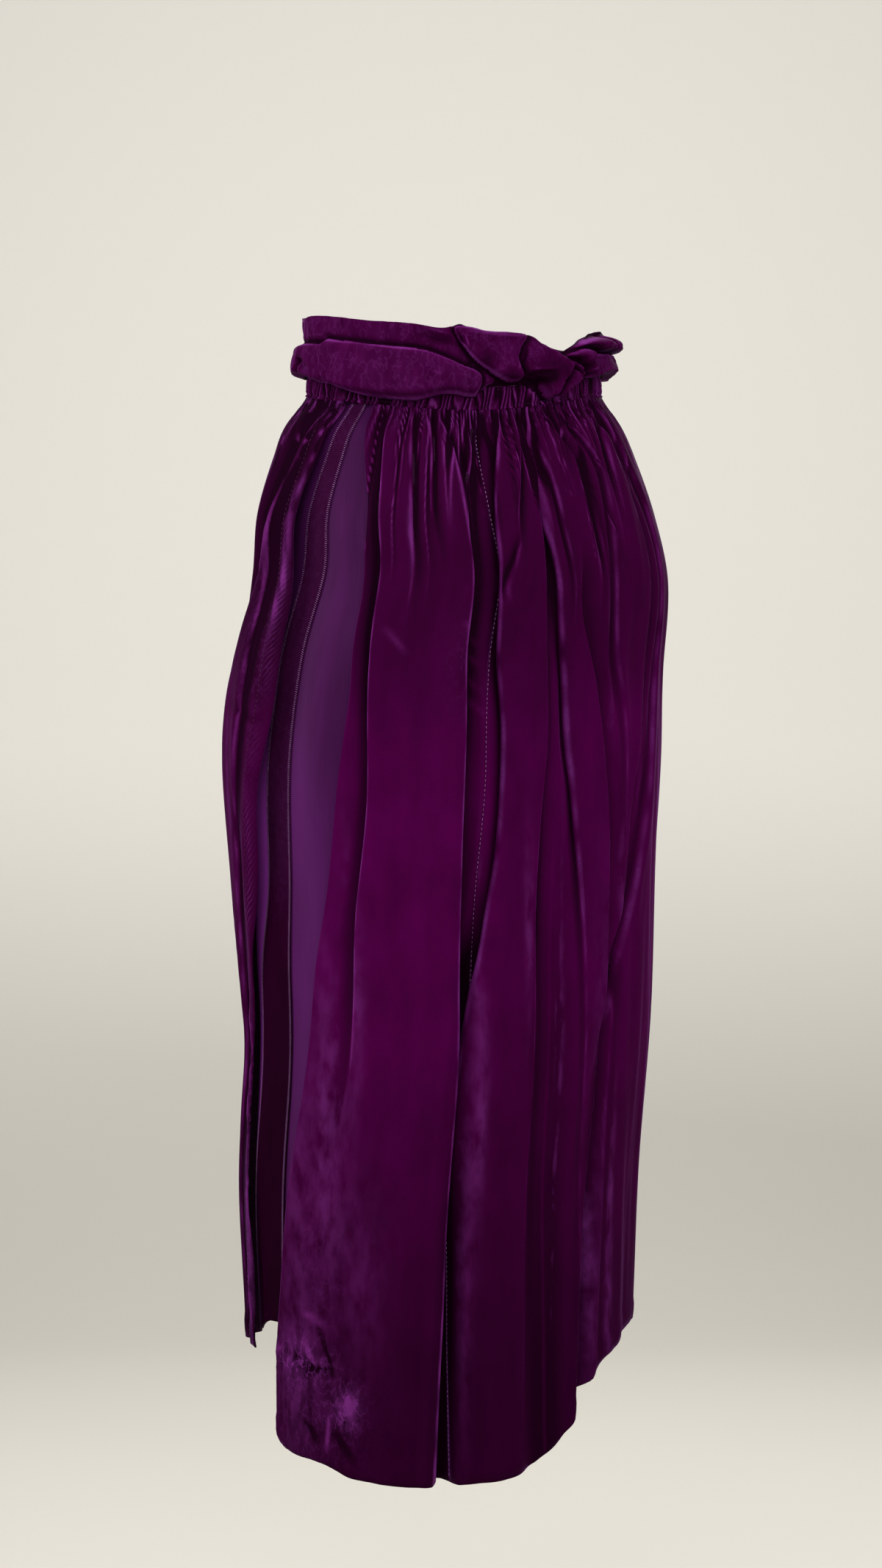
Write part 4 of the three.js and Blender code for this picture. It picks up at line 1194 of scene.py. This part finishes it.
def stitch_tree():
    """A tree that sets stitches along a path of edges: each lies on the cloth, turned by its
    slant from the path's direction."""
    tree = bpy.data.node_groups.new("stitches along a path", "GeometryNodeTree")
    tree.interface.new_socket("Path", in_out="INPUT", socket_type="NodeSocketGeometry")
    for name in ("Spacing", "Length", "Width", "Slant"):
        tree.interface.new_socket(name, in_out="INPUT", socket_type="NodeSocketFloat")
    tree.interface.new_socket("Thread", in_out="INPUT", socket_type="NodeSocketMaterial")
    tree.interface.new_socket("Stitches", in_out="OUTPUT", socket_type="NodeSocketGeometry")
    given = add_node(tree, "NodeGroupInput").outputs
    curve = add_node(tree, "GeometryNodeMeshToCurve", {"Mesh": given["Path"]}).outputs[0]
    even = add_node(tree, "GeometryNodeResampleCurve", {
        "Curve": curve, "Length": given["Spacing"]}, mode="LENGTH").outputs[0]
    along = add_node(tree, "GeometryNodeInputTangent").outputs[0]
    outward = add_node(tree, "GeometryNodeInputNamedAttribute", {
        "Name": "out"}, data_type="FLOAT_VECTOR").outputs[0]
    flat = add_node(tree, "FunctionNodeAxesToRotation", {
        "Primary Axis": outward, "Secondary Axis": along},
        primary_axis="Z", secondary_axis="X").outputs[0]
    turn = add_node(tree, "FunctionNodeAxisAngleToRotation", {
        "Axis": (0, 0, 1), "Angle": given["Slant"]}).outputs[0]
    turned = add_node(tree, "FunctionNodeRotateRotation", {
        "Rotation": flat, "Rotate By": turn}, rotation_space="LOCAL").outputs[0]
    size = add_node(tree, "ShaderNodeCombineXYZ", {
        "X": given["Length"], "Y": given["Width"], "Z": given["Width"]}).outputs[0]
    bead = add_node(tree, "GeometryNodeMeshUVSphere", {
        "Segments": 6, "Rings": 4, "Radius": 0.5}).outputs["Mesh"]
    placed = add_node(tree, "GeometryNodeInstanceOnPoints", {
        "Points": even, "Instance": bead, "Rotation": turned, "Scale": size}).outputs[0]
    real = add_node(tree, "GeometryNodeRealizeInstances", {"Geometry": placed}).outputs[0]
    rounded = add_node(tree, "GeometryNodeSetShadeSmooth", {"Geometry": real}).outputs[0]
    threaded = add_node(tree, "GeometryNodeSetMaterial", {
        "Geometry": rounded, "Material": given["Thread"]}).outputs[0]
    add_node(tree, "NodeGroupOutput", {"Stitches": threaded})
    return tree


stitches_along = stitch_tree()


def path_on(surface, along, across):
    """Points of a path on a surface of two shares or angles, and the surface's outward way."""
    small = 0.02
    points = surface(along, across)
    beside = surface(along + small, across) - surface(along - small, across)
    below = surface(along, across + small) - surface(along, across - small)
    out = np.cross(beside, below)
    return points, out / np.linalg.norm(out, axis=-1, keepdims=True)


def stitch_row(name, path, sizes, material, sign=1, lift=0.15):
    """A row of stitches along a path on the cloth, its sizes in millimetres and degrees."""
    points, out = path
    out = out * sign
    mesh = bpy.data.meshes.new(name + "_path")
    edges = [(i, i + 1) for i in range(len(points) - 1)]
    mesh.from_pydata(((points + out * lift) * MM).tolist(), edges, [])
    mesh.attributes.new("out", "FLOAT_VECTOR", "POINT").data.foreach_set("vector", out.reshape(-1))
    carrier = place(name + "_path", mesh)
    sewn = carrier.modifiers.new("stitches", "NODES")
    sewn.node_group = stitches_along
    values = {size: sizes[size.lower()] * MM for size in ("Spacing", "Length", "Width")}
    values.update({"Slant": math.radians(sizes["slant"]), "Thread": material})
    for socket in stitches_along.interface.items_tree:
        if socket.in_out == "INPUT" and socket.name in values:
            sewn[socket.identifier] = values[socket.name]
    evaluated = carrier.evaluated_get(bpy.context.evaluated_depsgraph_get())
    stitches = place(name, bpy.data.meshes.new_from_object(evaluated))
    bpy.data.objects.remove(carrier)
    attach(stitches, "root")


SEAM_STITCH = {"spacing": 3.4, "length": 2.4, "width": 0.5, "slant": 0}
TOPSTITCH = {"spacing": 3.6, "length": 2.6, "width": 0.55, "slant": 0}
SHIRRING = {"spacing": 3.1, "length": 2.2, "width": 0.45, "slant": 0}
SERGING = {"spacing": 1.5, "length": 2.6, "width": 0.4, "slant": 68}

# Heights between which the seam and the slit's hem are sewn, and how far beside the seam in degrees
SEAM_RUN = (-34, -786)
TOPSTITCH_RUN = (-45, -698)
SEAM_ASIDE = 0.25

# How far in from the band's edge the serging lies, as a share of the underlap's width
BAND_EDGE = 0.006


def sewing():
    """Stitches that show: the back seam, the slit's front hem, the shirred rows and the serging."""
    down = np.linspace(0, 1, 420)
    seam_z = mix(*SEAM_RUN, down)
    seam = path_on(velvet_points, edge["back_seam"](seam_z) + SEAM_ASIDE, seam_z)
    stitch_row("back_seam_stitches", seam, SEAM_STITCH, pale_thread)
    hem_z = mix(*TOPSTITCH_RUN, down)
    hem_azimuth = 360 + edge["slit_front"](hem_z) - SLIT_HEM_WIDTH / MM_PER_DEGREE
    hem = path_on(velvet_points, hem_azimuth, hem_z)
    stitch_row("slit_front_topstitching", hem, TOPSTITCH, thread)

    def on_casing(azimuth, level):
        return casing_points(azimuth, level)[0]

    def on_band(across, down):
        return underlap_points(across, down, SEAM_GAP + VELVET_THICK)[0]

    around = np.linspace(0, 360, 1400)
    for number, level in enumerate(SHIRRED_ROWS):
        row = path_on(on_casing, around, np.full_like(around, level))
        stitch_row(f"shirring_stitches_{number + 1}", row, SHIRRING, thread, sign=-1)
    low, high = BAND_SHARES
    for number, share in enumerate((low + BAND_EDGE, high - BAND_EDGE)):
        row = path_on(on_band, np.full_like(down, share), down)
        stitch_row(f"band_serging_{number + 1}", row, SERGING, pale_thread, sign=-1)


sewing()


def stage_paint():
    """Matt studio paint, faintly clouded, a little darker on the floor than on the wall."""
    material, tree = new_material("pale_studio_paint")
    where = add_node(tree, "ShaderNodeTexCoord").outputs["Object"]
    height = add_node(tree, "ShaderNodeSeparateXYZ", {"Vector": where}).outputs["Z"]
    share = add_node(tree, "ShaderNodeMapRange", {
        "Value": height, "From Min": FLOOR_HEIGHT * MM,
        "From Max": (FLOOR_HEIGHT + WALL_CURVE) * MM},
        interpolation_type="SMOOTHSTEP").outputs["Result"]
    cloud = grains(tree, where, 0.9, 2)
    tone = add_node(tree, "ShaderNodeMath", {
        0: cloud, 1: 0.08, 2: share}, operation="MULTIPLY_ADD").outputs[0]
    colour = add_node(tree, "ShaderNodeValToRGB", {
        "Fac": tone}, stops=[(0, "#bcb8af"), (1, "#ebe8e0")])
    finish_surface(tree, colour.outputs["Color"], {"Roughness": 0.8})
    return material


def view_directions():
    """The ways from the skirt towards the camera, and to the camera's right."""
    turn = math.radians(VIEW_AZIMUTH)
    towards = Vector((math.sin(turn), -math.cos(turn), 0))
    right = Vector((math.cos(turn), math.sin(turn), 0))
    return towards, right


def add_camera():
    towards, right = view_directions()
    data = bpy.data.cameras.new("camera")
    data.lens = SENSOR_MM * FOCAL_PIXELS / PHOTO_HEIGHT_PIXELS
    data.sensor_width = SENSOR_MM
    camera = place("camera", data)
    stand = towards * VIEW_DISTANCE + right * VIEW_ASIDE + Vector((0, 0, VIEW_HEIGHT))
    camera.location = stand * MM
    camera.rotation_euler = (math.pi / 2, 0, math.radians(VIEW_AZIMUTH))
    bpy.context.scene.camera = camera


# The wall stands far enough behind for a camera to go right round the skirt
FLOOR_HEIGHT = -1100
FLOOR_AHEAD = 5000
WALL_BEHIND = 3000
WALL_HALF_WIDTH = 6000
WALL_HEIGHT = 3500
WALL_CURVE = 1000
CURVE_STEPS = 12


def add_stage():
    """A pale floor and a wall behind, curved into each other."""
    towards, right = view_directions()
    profile = [(FLOOR_AHEAD, FLOOR_HEIGHT)]
    for i in range(CURVE_STEPS + 1):
        turn = math.pi / 2 * i / CURVE_STEPS
        profile.append((WALL_CURVE * (1 - math.sin(turn)) - WALL_BEHIND,
                        WALL_CURVE * (1 - math.cos(turn)) + FLOOR_HEIGHT))
    profile.append((-WALL_BEHIND, WALL_HEIGHT))
    vertices = []
    for ahead, up in profile:
        for aside in (-WALL_HALF_WIDTH, WALL_HALF_WIDTH):
            vertices.append((towards * ahead + right * aside + Vector((0, 0, up))) * MM)
    faces = [(2 * i, 2 * i + 1, 2 * i + 3, 2 * i + 2) for i in range(len(profile) - 1)]
    mesh = bpy.data.meshes.new("backdrop")
    mesh.from_pydata(vertices, [], faces)
    mesh.polygons.foreach_set("use_smooth", [True] * len(faces))
    mesh.materials.append(stage_paint())
    place("backdrop", mesh)


# Soft lamps: how far to the camera's right, towards it and up they stand, what they face in the
# same way, their size and their power in watts. The last one lights the wall.
LAMPS = table("right ahead up to_right to_ahead to_up wide tall power", [
    (-1700, 700, 300, 0, 0, -350, 900, 1800, 34),
    (1500, 1500, 600, 0, 0, -350, 900, 1400, 26),
    (-200, 2300, 900, 0, 0, -350, 1600, 1000, 34),
    (0, 300, 1700, 0, 0, -350, 1600, 1200, 24),
    (300, -1700, 700, 0, 0, -350, 1400, 1400, 24),
    (0, -900, 1500, 0, -3000, -100, 2600, 800, 9),
])
AIR_STRENGTH = 0.45


def add_lights():
    towards, right = view_directions()

    def at(aside, ahead, up):
        return (towards * ahead + right * aside + Vector((0, 0, up))) * MM

    for i, values in enumerate(zip(*LAMPS.values())):
        stand, target, (wide, tall, power) = values[:3], values[3:6], values[6:]
        data = bpy.data.lights.new(f"soft lamp {i + 1}", "AREA")
        data.shape = "RECTANGLE"
        data.size = wide * MM
        data.size_y = tall * MM
        data.energy = power
        lamp = place(data.name, data)
        lamp.location = at(*stand)
        facing = at(*target) - lamp.location
        lamp.rotation_euler = facing.to_track_quat("-Z", "Y").to_euler()
        lamp.visible_camera = False
    world = bpy.data.worlds.new("studio air")
    world.use_nodes = True
    air = world.node_tree.nodes["Background"].inputs
    air["Color"].default_value = srgb("#e8e6e4")
    air["Strength"].default_value = AIR_STRENGTH
    bpy.context.scene.world = world
    bpy.context.scene.view_settings.view_transform = "Standard"


add_camera()
add_stage()
add_lights()
